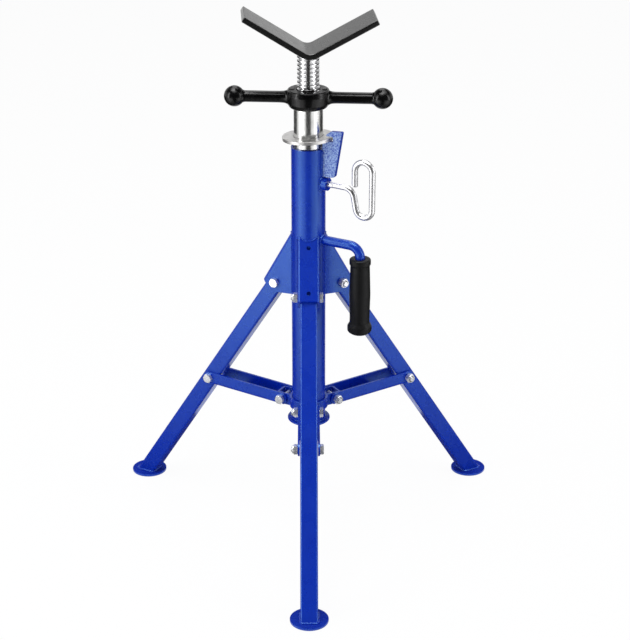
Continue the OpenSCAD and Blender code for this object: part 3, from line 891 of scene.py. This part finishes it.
    def build(self) -> None:
        """Make the bolts and nuts of every leg pivot, hub pivot and link pivot."""
        s = self.sizes
        places = {
            "pivot": (s.pivot, s.half_out, None, "mast"),
            "hub": (s.hub, s.half_out + s.turn_gap, None, "slide_collar"),
            "link": (s.link_end, s.half_out, s.half_in, "link_{leg}"),
        }
        for place, (point, seat, open_half, body) in places.items():
            for leg in Leg:
                rides, turn = body.format(leg=leg.name), leg.value
                bolt, nut = f"{place}_bolt_{leg.name}", f"{place}_nut_{leg.name}"
                hexed = self.bolt(point, seat, turn, open_half)
                publish(f"{bolt}_hex", hexed, ZINC, rides, [bolt], sharp=25.0)
                publish(f"{nut}_lock", self.nut(point, seat, turn), ZINC, rides, [nut], sharp=25.0)
                publish(f"{nut}_ring", self.lock_ring(point, seat, turn), NYLON, rides, sharp=40.0)


@dataclass
class Mast:
    """The welds that hold the brackets, hook plate, pin boss, handle and stop disc on the mast tube.

    Attributes:
        sizes: The stand's sizes.
        seam: Radius of a plate's beads.
        boss_seam: Radius of the pin boss's bead.
        handle_seam: Radius of the handle's bead.
        bracket_low: Where a bracket's side beads start.
        bracket_high: Where they end.
        beside: How far a bead's middle lies outside the plate or bar that it holds.
    """

    sizes: Sizes
    seam: float = 1.3
    boss_seam: float = 1.6
    handle_seam: float = 1.8
    bracket_low: float = 377.0
    bracket_high: float = 468.0
    beside: float = 0.5

    def scallop(self) -> Surface:
        """The bead along the top of a bracket's web, where the sloped web meets the round tube.

        The web's outer face falls from its nearest point to the pivot by the radius gained over the slope's
        tangent.
        """
        s = self.sizes
        slope, half = math.radians(s.web_angle), s.half_in + self.beside
        y = np.linspace(-half, half, 40)
        x = np.sqrt(s.mast_r**2 - y**2)
        face_r = s.pivot_r + s.web_face * math.cos(slope)
        face_z = s.pivot_z + s.web_face * math.sin(slope)
        z = face_z - (x - face_r) / math.tan(slope)
        return bead(np.stack([x, y, z], -1), self.seam, (1.0, 0.0, 0.0))

    def saddle(self, radius: float, z: float, size: float) -> Surface:
        """The bead round a bar that leaves the tube square to it: a circle laid on the tube."""
        ring = circle(radius + 0.3, 72)
        x = np.sqrt(self.sizes.mast_r**2 - ring[:, 0] ** 2)
        return bead(np.stack([x, ring[:, 0], z + ring[:, 1]], -1), size, (1.0, 0.0, 0.0), True)

    def build(self) -> None:
        """Make the mast's welds."""
        s = self.sizes
        for leg in Leg:
            sides = seams(s.mast_r, s.half_out + self.beside, self.bracket_low, self.bracket_high, self.seam)
            bracket = joined([*sides, self.scallop()])
            publish(f"bracket_weld_{leg.name}", bracket.turned(leg.value), POWDER_COAT, "mast")
        hook_low, hook_high = s.hook_low_z + 1.0, s.mast_top_z - 1.5
        on_hook_side = {
            "hook_weld": joined(seams(s.mast_r, s.hook_t / 2 + self.beside, hook_low, hook_high, self.seam)),
            "boss_weld": self.saddle(s.boss_r, s.pin_z, self.boss_seam),
            "handle_weld": self.saddle(s.bar_d / 2, s.bar_z, self.handle_seam),
        }
        for name, weld in on_hook_side.items():
            publish(name, weld.turned(s.hook_azimuth), POWDER_COAT, "mast")
        ring = around(s.mast_r, angles(120), s.mast_low_z)
        publish("stop_weld", bead(ring, self.seam, UP, True), POWDER_COAT, "mast")


@dataclass
class Spreader:
    """Sliding collar, lugs and links: the welds between lugs and collar."""

    sizes: Sizes
    seam: float = 1.4

    def build(self) -> None:
        """Make a bead up each side of each lug."""
        s = self.sizes
        low, high = s.collar_low_z + 1.0, s.collar_low_z + s.collar_h - 1.0
        sides = joined(seams(s.collar_r, s.lug_half, low, high, self.seam))
        for leg in Leg:
            publish(f"lug_weld_{leg.name}", sides.turned(leg.value), POWDER_COAT, "slide_collar")


@dataclass
class Legs:
    """The welds that hold each leg on its foot disc."""

    sizes: Sizes
    seam: float = 2.1

    def outline(self) -> Array:
        """The leg's square section with round corners, where the disc's top face cuts it.

        The section is stretched in the radial direction by one over the cosine of the leg's lean.

        Returns:
            Array of shape (n, 3), a ring round the leg's foot.
        """
        s = self.sizes
        half, corner = s.leg_w / 2.0, s.leg_corner
        rays = circle(half * 1.5, 160)
        core = np.clip(rays, -(half - corner), half - corner)
        out = rays - core
        ring = core + corner * out / np.maximum(np.linalg.norm(out, axis=1, keepdims=True), 1e-9)
        x = s.foot_centre_r + ring[:, 0] / math.cos(math.radians(s.leg_angle))
        return np.stack([x, ring[:, 1], np.full_like(x, s.foot_t)], -1)

    def build(self) -> None:
        """Make each leg's weld."""
        ring = bead(self.outline(), self.seam, UP, True)
        for leg in Leg:
            publish(f"foot_weld_{leg.name}", ring.turned(leg.value), POWDER_COAT, f"leg_{leg.name}")


@dataclass
class HandGrip:
    """Rubber sleeve on the carrying handle."""

    sizes: Sizes

    def build(self) -> None:
        """Make the sleeve: a waisted barrel between a rolled upper flange and a rounded lower bulb."""
        s = self.sizes
        top = s.grip_len
        bulb = [(0.0, 0.0, 0), (12.0, 0.0, 8.0), (17.9, 4.5, 4.5), (17.9, 12.5, 4.0), (14.7, 18.0, 3.5)]
        barrel = [(14.6, 26.0, 20.0), (15.5, 62.0, 120.0), (14.1, top - 10.5, 3.0)]
        flange = [(15.6, top - 8.5, 1.6), (15.6, top - 0.4, 2.6), (10.0, top, 1.5), (7.1, top - 0.6, 0.5)]
        mouth = [(7.1, top - 12.0, 0)]
        sleeve = revolved(rounded_profile(bulb + barrel + flange + mouth, 8), 72)
        in_place = sleeve.moved(s.grip_axis_r, s.grip_low_z).turned(s.hook_azimuth)
        publish("hand_grip_rubber", in_place, RUBBER, "mast", ["hand_grip"], sharp=60.0)


@dataclass
class LockPin:
    """The lock pin: one rod, bent into a finger loop.

    Attributes:
        sizes: The stand's sizes.
        tip_r: Radius round the mast at which the rod starts.
        shank_end_r: Where its straight shank ends.
        far_r: The loop's outermost centre line.
        neck_r: Radius of the bend down from the shank.
        low_r: Radius of the loop's lower bend.
        high_r: Radius of the loop's upper bend.
        low_drop: How far the lower bend's centre lies under the shank.
        high_rise: How far the upper bend's centre lies over it.
        crimps: Radii round the mast of the crimped rings.
        crimp_depth: Depth of a crimped ring.
        crimp_width: Distance from its middle at which its depth is down to about a third.
    """

    sizes: Sizes
    tip_r: float = 21.7
    shank_end_r: float = 60.0
    far_r: float = 104.0
    neck_r: float = 15.0
    low_r: float = 13.0
    high_r: float = 14.0
    low_drop: float = 27.5
    high_rise: float = 27.5
    crimps: tuple[float, ...] = (43.0, 46.0, 49.0, 52.0)
    crimp_depth: float = 0.38
    crimp_width: float = 0.8

    def centre_line(self) -> Array:
        """The rod's centre line, as radius and height: straights and arcs that meet along their tangents.

        Returns:
            Array of shape (n, 2).
        """
        z = self.sizes.pin_z
        neck = np.array([self.shank_end_r, z - self.neck_r])
        low = np.array([self.far_r - self.low_r, z - self.low_drop])
        high = np.array([self.far_r - self.high_r, z + self.high_rise])
        reach = low - neck
        slope = math.atan2(reach[1], reach[0]) - math.asin((self.neck_r + self.low_r) / np.linalg.norm(reach))
        near_r = high[0] - self.high_r
        clear = self.neck_r + self.sizes.pin_d + 0.5
        near_end = neck[1] + math.sqrt(clear**2 - (near_r - neck[0]) ** 2)

        def arc(centre: Array, radius: float, start: float, end: float) -> Array:
            """Points on an arc between two angles in radians."""
            a = np.linspace(start, end, 28)
            return centre + radius * np.stack([np.cos(a), np.sin(a)], -1)

        quarter = math.pi / 2.0
        return np.vstack([
            [(self.tip_r, z)],
            arc(neck, self.neck_r, quarter, slope + quarter),
            arc(low, self.low_r, slope - quarter, 0.0),
            arc(high, self.high_r, 0.0, math.pi),
            [(near_r, near_end)],
        ])

    def build(self) -> None:
        """Make the rod, with its crimped rings near the boss and rounded ends.

        Each ring takes a bell curve of the distance along the rod off its radius, and the last millimetre at
        each end tapers.
        """
        s = self.sizes
        flat = self.centre_line()
        line = even(np.stack([flat[:, 0], np.zeros(len(flat)), flat[:, 1]], -1), 0.9)
        run = np.linspace(0.0, 1.0, len(line)) * np.linalg.norm(np.diff(line, axis=0), axis=1).sum()
        radius = np.full(len(line), s.pin_d / 2.0)
        for place in self.crimps:
            away = (run - (place - self.tip_r)) / self.crimp_width
            radius = radius - self.crimp_depth * np.exp(-(away**2))
        radius = radius - np.maximum(1.0 - np.minimum(run, run[-1] - run), 0.0)
        rod = carried(line, radius[:, None, None] * circle(1.0, 24), (0.0, 1.0, 0.0))
        publish("lock_pin_rod", rod.turned(s.hook_azimuth), SATIN_ZINC, "lock_pin", ["lock_pin"], ROUNDED)


@dataclass
class JackNut:
    """Cast nut with two ball-ended arms.

    Attributes:
        sizes: The stand's sizes.
        root_r: Radius round the screw at which an arm starts, inside the hub.
        flare: How much an arm's radius is widened at flare_r.
        flare_r: Radius round the screw past which the flare dies away.
        flare_len: Length over which it falls to a third.
    """

    sizes: Sizes
    root_r: float = 20.0
    flare: float = 3.6
    flare_r: float = 28.0
    flare_len: float = 3.2

    def hub(self) -> Surface:
        """The nut's body: a rounded lower edge, a crowned side and a broken upper edge."""
        s = self.sizes
        bore, side, top = s.jack_bore_r, s.jack_r, s.jack_h
        below = [(bore, 1.2, 0), (bore + 1.2, 0.0, 0.4), (side - 4.0, 0.0, 5.0), (side, 7.5, 5.0)]
        above = [(side, top * 0.7, 12.0), (side - 1.0, top, 2.0), (bore + 1.6, top, 0.5)]
        return revolved(rounded_profile([*below, *above, (bore, top - 1.6, 0), below[0]], 8), 96)

    def arm(self) -> Surface:
        """An arm turned about its own axis: a flared root, a straight bar, a small fillet and a ball.

        Returns:
            The surface, with its axis along Z from the nut's centre.
        """
        s = self.sizes
        bar, ball = s.arm_d / 2.0, s.ball_d / 2.0
        x = np.linspace(self.root_r, s.arm_len - ball, 60)
        thick = bar + self.flare * np.exp(-np.clip((x - self.flare_r) / self.flare_len, -0.5, None))
        neck = math.asin(bar / ball) + math.radians(4.0)
        a = np.linspace(math.pi - neck, 0.0, 40)
        sphere = np.stack([ball * np.sin(a), s.arm_len + ball * np.cos(a)], -1)
        rod = np.stack([thick, x], -1)[x < sphere[0, 1] - 1.2]
        return revolved(np.vstack([[(0.0, self.root_r)], rod, sphere]), 48)

    def build(self) -> None:
        """Join the hub and its arms, each arm stood along its own side."""
        s = self.sizes
        arm = self.arm()
        arms = [arm.placed((0, 0, s.arm_z), (0, side, 0), (0, 0, 1), (side, 0, 0)).turned(s.arm_azimuth)
                for side in (1.0, -1.0)]
        nut = joined([self.hub(), *arms]).moved(z=s.tube_top_z)
        publish("jack_nut_casting", nut, IRON_ENAMEL, "jack_nut", ["jack_nut"], ROUNDED)


@dataclass
class JackScrew:
    """Trapezoidal screw welded under the head.

    Attributes:
        sizes: The stand's sizes.
        pitch: Pitch of the thread.
        depth: Depth of the thread.
        plain: Stretch under the head over which the thread fades out.
        into_head: How far the screw reaches into the head.
    """

    sizes: Sizes
    pitch: float = 6.0
    depth: float = 2.6
    plain: float = 5.0
    into_head: float = 0.4

    def thread(self, a: Array, z: Array) -> Array:
        """Radius of the screw at an angle and a height.

        The height less the helix's climb is folded into one pitch. A trapezoid of it gives the depth: a flat
        root, a slope, a flat crest and a slope back. The thread fades out over the plain stretch at the top.

        Args:
            a: Angles, in radians.
            z: Heights, in millimetres.

        Returns:
            Radii, in millimetres.
        """
        turn = (z / self.pitch - a / (2.0 * math.pi)) % 1.0
        wave = np.clip(2.6 - 7.2 * np.abs(turn - 0.5), 0.0, 1.0)
        wave = wave * wave * (3.0 - 2.0 * wave)
        return self.sizes.screw_r - self.depth * (1.0 - wave)

    def build(self) -> None:
        """Make the screw as rows that climb with the helix, its top cut to the head's underside.

        Each row starts a sixteenth of a pitch above the one before and rises one pitch in a turn, so that it
        keeps its place on the thread. Rows are cut off at the screw's end and at the head.
        """
        s = self.sizes
        a = np.linspace(0.0, 2.0 * math.pi, 97)
        top = s.head_under(s.screw_r * np.cos(a - math.radians(s.head_azimuth))) + self.into_head
        start = np.arange(s.screw_low_z - self.pitch, top.max() + 0.1, self.pitch / 16.0)
        z = np.clip(start[:, None] + self.pitch * a / (2.0 * math.pi), s.screw_low_z, top)
        fade = np.clip((top - z) / self.plain, 0.0, 1.0)
        end = np.clip((z - s.screw_low_z) / 2.0, 0.0, 1.0)
        radius = s.screw_r - (s.screw_r - self.thread(a, z)) * fade - 2.0 * (1.0 - end)
        ends = (s.screw_low_z, s.head_under(np.zeros(1)) + self.into_head)
        low, high = (around(0.0, a[None], end_z) for end_z in ends)
        screw = Surface.grid(np.concatenate([low, around(radius, a, z), high]))
        publish("lift_screw_thread", screw, SCREW_STEEL, "screw_and_head", ["lift_screw"], sharp=75.0)


@dataclass
class Head:
    """The V head, bent from flat bar, and its weld on the screw."""

    sizes: Sizes
    edge_r: float = 1.4
    seam: float = 1.7

    def middle(self) -> Array:
        """The bar's middle line in the head's own frame: arm, bend, arm.

        Returns:
            Array of shape (n, 3), with its origin under the bend's apex.
        """
        s = self.sizes
        rise = math.radians(s.head_rise)
        radius = s.head_bend + s.head_t / 2.0
        reach = (s.head_span / 2.0 - s.head_bend * math.sin(rise)) / math.cos(rise)
        a = np.linspace(-math.pi / 2.0 - rise, -math.pi / 2.0 + rise, 41)
        bend = radius * np.stack([np.cos(a), np.sin(a)], -1)
        along = np.array([math.cos(rise), math.sin(rise)])
        edge = reach - np.array([0.0, 0.25, 0.6, self.edge_r])
        run = np.concatenate([edge, np.linspace(reach - 6.0, 4.0, 12)])
        right = bend[-1] + run[:, None] * along
        left = bend[0] + run[:, None] * along * (-1.0, 1.0)
        flat = np.vstack([left, bend, right[::-1]])
        return np.stack([flat[:, 0], np.zeros(len(flat)), flat[:, 1] + s.head_bend + s.head_t], -1)

    def section(self, inset: float) -> Array:
        """The bar's section, set in by a distance, with round corners.

        Args:
            inset: Distance that every side moves in.

        Returns:
            Array of shape (m, 2).
        """
        s = self.sizes
        half = np.array([s.head_t, s.head_w]) / 2.0 - inset
        corner = max(self.edge_r - inset, 0.05)
        ring = []
        for turn, sign in enumerate(((1, 1), (-1, 1), (-1, -1), (1, -1))):
            a = np.linspace(0.0, math.pi / 2.0, 5) + turn * math.pi / 2.0
            ring.append((half - corner) * sign + corner * np.stack([np.cos(a), np.sin(a)], -1))
        return np.vstack(ring)

    def build(self) -> None:
        """Make the bar and the bead: the screw's circle laid on the head's underside."""
        s = self.sizes
        path = self.middle()
        steps = [self.edge_r, self.edge_r * 0.45, self.edge_r * 0.12, 0.0]
        insets = steps + [0.0] * (len(path) - 8) + steps[::-1]
        bar = carried(path, np.array([self.section(i) for i in insets]), (0.0, 1.0, 0.0))
        tilted = bar.tipped(-s.head_tilt).moved(z=s.head_low_z).turned(s.head_azimuth)
        # The bar carries painted sheen: its top, underside and ends are painted lighter than its front and
        # back.
        publish("v_head_bar", tilted, HEAD_BLACK_WITH_PAINTED_SHEEN, "screw_and_head", ["v_head"], ROUNDED, flat=True)
        ring = around(s.screw_r + 0.4, angles(96), 0.0)
        ring[:, 2] = s.head_under(ring[:, 0]) - 0.3
        weld = bead(ring, self.seam, UP, True).turned(s.head_azimuth)
        publish("head_weld", weld, HEAD_BLACK_WITH_PAINTED_SHEEN, "screw_and_head")


@dataclass
class RoundPieces:
    """Discs and rings with softened edges: feet, stop disc, sliding collar and grip plate."""

    sizes: Sizes

    @staticmethod
    def ring(bore: float, radius: float, height: float, edge: float) -> Surface:
        """A ring, or a disc where the bore is 0, standing on its origin.

        Args:
            bore: Inner radius.
            radius: Outer radius.
            height: Height.
            edge: Radius of its edges.

        Returns:
            The surface.
        """
        middle, inner = (bore + radius) / 2.0, edge * 0.6
        outer = [(radius, 0.0, edge), (radius, height, edge)]
        if bore > 0.0:
            loop = [(middle, 0.0, 0), *outer, (bore, height, inner), (bore, 0.0, inner), (middle, 0.0, 0)]
        else:
            loop = [(0.0, 0.0, 0), *outer, (0.0, height, 0)]
        return revolved(rounded_profile(loop, 4), 120)

    def build(self) -> None:
        """Make the pieces in their places."""
        s = self.sizes
        foot = self.ring(0.0, s.foot_r - 0.01, s.foot_t, 0.9).moved(s.foot_centre_r)
        stop = self.ring(0.0, s.stop_r, s.stop_t, 0.8).moved(z=s.mast_low_z - s.stop_t)
        collar = self.ring(s.collar_bore_r, s.collar_r, s.collar_h, 0.6).moved(z=s.collar_low_z)
        plate = self.ring(s.plate_bore_r, s.plate_r, s.plate_h, 0.6).moved(-s.plate_r).tipped(s.plate_tilt)
        plate = plate.moved(s.plate_r, s.plate_z).turned(s.hook_azimuth)
        rows = [(f"foot_disc_{leg.name}", foot.turned(leg.value), f"leg_{leg.name}", f"foot_{leg.name}")
                for leg in Leg]
        rows += [
            ("stop_disc", stop, "mast", "bottom_stop"),
            ("collar_band", collar, "slide_collar", "collar_ring"),
            ("grip_plate", plate, "friction_collar", "friction_collar"),
        ]
        for name, surface, body, node in rows:
            finish = PLATE_ZINC if surface is plate else POWDER_COAT
            publish(name, surface, finish, body, [node], ROUNDED, flat=True)


@dataclass
class CarriedNodes:
    """CAD nodes that stay in view.

    Attributes:
        blue: Nodes in the powder coat.
        per_leg: Nodes in the powder coat that each leg has.
        finishes: The other nodes' finishes.
        edges: Width of the rounded edges, in millimetres.
        flat_angle: Faces that turn less than this many degrees become one before the edges are rounded.
        edge_angle: Edges that turn more than this are rounded.
        smooth_angle: Edges that turn less than this are shaded smooth.
    """

    blue: tuple[str, ...] = ("outer_tube", "pin_boss", "handle_bar")
    per_leg: tuple[str, ...] = ("bracket", "leg", "lug", "link")
    finishes: dict[str, Finish] = field(
        default_factory=lambda: {"hook_plate": CAST_BLUE_PAINTED_GLINTS, "inner_tube": DRAWN_STEEL})
    edges: dict[str, float] = field(default_factory=lambda: {
        "hook_plate": 0.9, "outer_tube": 0.5, "inner_tube": 0.5, "bracket": 0.45, "link": 0.45, "lug": 0.45,
        "pin_boss": 0.7})
    flat_angle: float = 0.4
    edge_angle: float = 32.0
    smooth_angle: float = 34.0

    def dress(self, nodes: dict[str, bpy.types.Object]) -> None:
        """Give every carried node its finish and its broken edges.

        Args:
            nodes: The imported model's nodes.
        """
        chosen = {name: POWDER_COAT for name in self.blue}
        chosen |= {f"{part}_{leg.name}": POWDER_COAT for part in self.per_leg for leg in Leg}
        chosen |= self.finishes
        for name, finish in chosen.items():
            node = nodes[name]
            node.data.materials.clear()
            node.data.materials.append(finish.material())
            width = self.edges.get(name) or self.edges.get(name.split("_")[0], 0.0)
            self.break_edges(node, width)
            LOG.info("dressed %s in %s", name, finish.name)

    def break_edges(self, node: bpy.types.Object, width: float) -> None:
        """Weld the node's loose triangles, round its sharp edges and smooth the rest, as modifiers."""
        node.modifiers.new("weld", "WELD").merge_threshold = 1e-6
        if width > 0.0:
            flat = node.modifiers.new("flat", "DECIMATE")
            flat.decimate_type = "DISSOLVE"
            flat.angle_limit = math.radians(self.flat_angle)
            bevel = node.modifiers.new("edges", "BEVEL")
            bevel.width = width * MM
            bevel.segments = 2
            bevel.limit_method = "ANGLE"
            bevel.angle_limit = math.radians(self.edge_angle)
            bevel.use_clamp_overlap = True
        node.modifiers.new("shading", "NODES").node_group = self.shading()
        keep_flat(node)

    def shading(self) -> bpy.types.NodeTree:
        """Node group that shades faces smooth up to the smooth angle, without the stored normals."""
        found = bpy.data.node_groups.get("smooth_by_angle")
        if found is not None:
            return found
        graph = Graph(bpy.data.node_groups.new("smooth_by_angle", "GeometryNodeTree"))
        for side in ("INPUT", "OUTPUT"):
            graph.tree.interface.new_socket("Geometry", in_out=side, socket_type="NodeSocketGeometry")
        geometry = graph.add("NodeGroupInput").outputs[0]
        bare = graph.add("GeometryNodeRemoveAttribute", {"Geometry": geometry, "Name": "custom_normal"})
        faces = graph.add("GeometryNodeSetShadeSmooth", {"Geometry": bare.outputs["Geometry"]}, domain="FACE")
        angle = graph.add("GeometryNodeInputMeshEdgeAngle").outputs["Unsigned Angle"]
        below = graph.add("FunctionNodeCompare", {0: angle, 1: math.radians(self.smooth_angle)},
                          data_type="FLOAT", operation="LESS_THAN")
        inputs = {"Geometry": faces.outputs["Geometry"], "Shade Smooth": below.outputs[0]}
        edges = graph.add("GeometryNodeSetShadeSmooth", inputs, domain="EDGE")
        graph.add("NodeGroupOutput", {0: edges.outputs["Geometry"]})
        return graph.tree


# Studio


@dataclass(frozen=True)
class Card:
    """A card that only reflections see, bent round the mast's axis, as a studio uses to draw edges on metal.

    Attributes:
        name: The card's name.
        start: Where it starts, in degrees from the camera's side, to the right.
        end: Where it ends.
        low: Radius and height of its one edge, in metres.
        high: Radius and height of its other edge.
        shade: Its brightness, where 1 is white.
    """

    name: str
    start: float
    end: float
    low: tuple[float, float]
    high: tuple[float, float]
    shade: float

    def surface(self) -> Surface:
        """The card as a grid of angle and radius, in metres."""
        a = np.radians(np.linspace(self.start, self.end, 25))
        r, z = np.array([self.low, self.high]).T[..., None]
        return Surface.grid(around(r, a - math.pi / 2.0, z))


# Each band's name, inner and outer radius in metres, and its brightness in each of the floor's sectors
FLOOR_BANDS = (
    ("near", 0.05, 0.50, (0.30, 0.32, 0.34, 0.32)),
    ("middle", 0.50, 0.85, (0.45, 0.70, 0.90, 0.60)),
    ("far", 0.85, 3.20, (0.70, 1.05, 2.60, 1.50)),
)
# Degrees from the camera's side
FLOOR_SECTORS = ((84.0, 98.0), (70.0, 84.0), (45.0, 70.0), (26.0, 45.0))
# A brighter card than this has only this share of its light on the right side
PAPER_WHITE = 1.1
RIGHT_SHARE = 0.75


def floor_cards() -> tuple[Card, ...]:
    """Light cards on the floor at both sides, brightest between the front and the side and far from the feet.

    Cards that are brighter than white paper have a smaller share of their light on the right side.
    """
    cards = []
    for band, near, far, shades in FLOOR_BANDS:
        low, high = (near, 0.006), (far, 0.006)
        for number, ((start, end), shade) in enumerate(zip(FLOOR_SECTORS, shades)):
            right_shade = shade if shade <= PAPER_WHITE else shade * RIGHT_SHARE
            cards.append(Card(f"card_left_{band}_{number}", -end, -start, low, high, shade))
            cards.append(Card(f"card_right_{band}_{number}", start, end, low, high, right_shade))
    return tuple(cards)


CARDS = (
    Card("card_front_floor", -20.0, 20.0, (0.05, 0.004), (4.5, 0.004), 0.06),
    Card("card_front", -60.0, 60.0, (4.5, 0.0), (4.5, 6.0), 0.03),
    Card("card_left_edge", -150.0, -98.0, (0.05, 0.004), (4.5, 0.004), 0.04),
    Card("card_right_edge", 98.0, 150.0, (0.05, 0.004), (4.5, 0.004), 0.04),
    Card("card_back", 120.0, 240.0, (4.6, 1.72), (4.6, 2.20), 0.10),
    Card("card_back_high", 120.0, 240.0, (4.6, 2.20), (4.6, 3.2), 0.90),
    Card("card_top", 0.0, 360.0, (1.7, 3.2), (6.0, 3.2), 0.05),
    Card("card_top_light", 0.0, 360.0, (0.01, 3.2), (1.7, 3.2), 3.0),
    *floor_cards(),
)


@dataclass
class Studio:
    """White floor and backdrop, soft lamps and the camera.

    Attributes:
        cards: The cards that reflections see.
        camera_at: Camera's place, in metres.
        camera_turn: Camera's rotation, in degrees.
        focal: Focal length for a 36 mm wide sensor.
        aim: What the lamps point at, in metres.
        floor_reach: Half the floor's width.
        floor_share: How much of the floor's white is its own, so that the rest takes the shadow.
        world_light: Strength of the world's light on the stand.
    """

    cards: tuple[Card, ...] = CARDS
    camera_at: Triple = (-0.0020, -2.3692, 1.3397)
    camera_turn: Triple = (66.92, 0.0, -0.278)
    focal: float = 98.69
    aim: Triple = (0.0, 0.0, 0.5)
    floor_reach: float = 14.0
    floor_share: float = 0.94
    world_light: float = 0.50

    @staticmethod
    def sheet(name: str, surface: Surface, material: bpy.types.Material) -> bpy.types.Object:
        """Put a sheet in the studio that isn't part of the stand.

        Args:
            name: The sheet's name.
            surface: Its surface, in metres.
            material: Its material.

        Returns:
            The sheet's object.
        """
        mesh = bpy.data.meshes.new(name)
        mesh.from_pydata(surface.points.tolist(), [], surface.quads.tolist())
        mesh.materials.append(material)
        sheet = bpy.data.objects.new(name, mesh)
        bpy.context.scene.collection.objects.link(sheet)
        sheet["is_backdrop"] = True
        return sheet

    def floor(self) -> None:
        """Lay a floor that the camera, reflections and glass see as white, and that still takes a shadow."""
        material, graph = new_material("pale_floor")
        matt = graph.add("ShaderNodeBsdfDiffuse", {"Color": (0.90, 0.90, 0.90, 1.0)}).outputs[0]
        share = graph.maths("MULTIPLY", graph.looked_at(), self.floor_share)
        graph.show(graph.mixed(share, matt, graph.glow(1.0)))
        side = np.array([-self.floor_reach, self.floor_reach])
        x, y = np.meshgrid(side, side, indexing="ij")
        self.sheet("studio_floor", Surface.grid(np.stack([x, y, 0.0 * x], -1)), material)

    def show_card(self, card: Card) -> None:
        """Hang a card that only reflections see."""
        material, graph = new_material(card.name)
        graph.show(graph.glow(card.shade))
        sheet = self.sheet(card.name, card.surface(), material)
        for rays in ("camera", "diffuse", "shadow", "transmission"):
            setattr(sheet, f"visible_{rays}", False)

    def world(self) -> None:
        """A white world: full white to the eye and in reflections, softer as light."""
        world = bpy.data.worlds.new("studio")
        bpy.context.scene.world = world
        world.use_nodes = True
        graph = Graph(world.node_tree)
        light, shown = (
            graph.add("ShaderNodeBackground", {"Color": colour, "Strength": strength}).outputs[0]
            for colour, strength in (((0.93, 0.95, 1.0, 1.0), self.world_light), ((1.0, 1.0, 1.0, 1.0), 1.0))
        )
        graph.show(graph.mixed(graph.looked_at(), light, shown), "ShaderNodeOutputWorld")

    def lamp(
        self, name: str, place: Triple, size: tuple[float, float], power: float, reflected: bool = True
    ) -> None:
        """An area lamp aimed at the stand.

        Args:
            name: The lamp's name.
            place: Where it is, in metres.
            size: Its width and height.
            power: Its power, in watts.
            reflected: Whether reflections see it.
        """
        data = bpy.data.lights.new(name, "AREA")
        data.shape = "RECTANGLE"
        data.size, data.size_y = size
        data.energy = power
        lamp = bpy.data.objects.new(name, data)
        lamp.location = place
        lamp.visible_glossy = reflected
        away = np.array(place) - self.aim
        lamp.rotation_euler = (math.atan2(math.hypot(*away[:2]), away[2]), 0.0, math.atan2(away[0], -away[1]))
        bpy.context.scene.collection.objects.link(lamp)

    def camera(self) -> None:
        """Put the camera where the photograph was taken from."""
        data = bpy.data.cameras.new("camera")
        data.sensor_fit = "HORIZONTAL"
        data.sensor_width = 36.0
        data.lens = self.focal
        data.clip_end = 60.0
        camera = bpy.data.objects.new("camera", data)
        camera.location = self.camera_at
        camera.rotation_euler = tuple(math.radians(v) for v in self.camera_turn)
        bpy.context.scene.collection.objects.link(camera)
        bpy.context.scene.camera = camera

    def build(self) -> None:
        """Set the camera, floor, cards, world and lamps."""
        bpy.context.scene.view_settings.view_transform = "Standard"
        self.camera()
        self.floor()
        for card in self.cards:
            self.show_card(card)
        self.world()
        self.lamp("overhead", (-0.2, -0.3, 2.6), (1.2, 1.2), 24.0)
        self.lamp("left_strip", (-2.2, -0.9, 1.2), (0.5, 2.2), 22.0)
        self.lamp("right_strip", (2.2, -0.7, 1.2), (0.5, 2.2), 14.0)
        self.lamp("front_fill", (0.0, -3.0, 0.5), (1.2, 0.6), 9.0, reflected=False)
        self.lamp("back", (0.0, 2.0, 2.7), (1.4, 1.4), 14.0)


def box_of_stand() -> list[list[float]]:
    """The shown stand's lowest and highest corner, as plain lists."""
    bpy.context.view_layer.update()
    return [list(corner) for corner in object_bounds()]


def main() -> None:
    """Load the frame, dress it and add the pieces that finish it."""
    logging.basicConfig(level=logging.INFO, format="%(name)s: %(message)s")
    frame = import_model()
    cad_box = box_of_stand()
    sizes = Sizes()
    Studio().build()
    CarriedNodes().dress(frame["nodes"])
    makers: tuple[Callable[[Sizes], object], ...] = (
        Fasteners, Mast, Spreader, Legs, HandGrip, LockPin, JackNut, JackScrew, Head, RoundPieces)
    for maker in makers:
        maker(sizes).build()
    {"cad": cad_box, "visual": box_of_stand()}


if __name__ == "__main__":
    main()
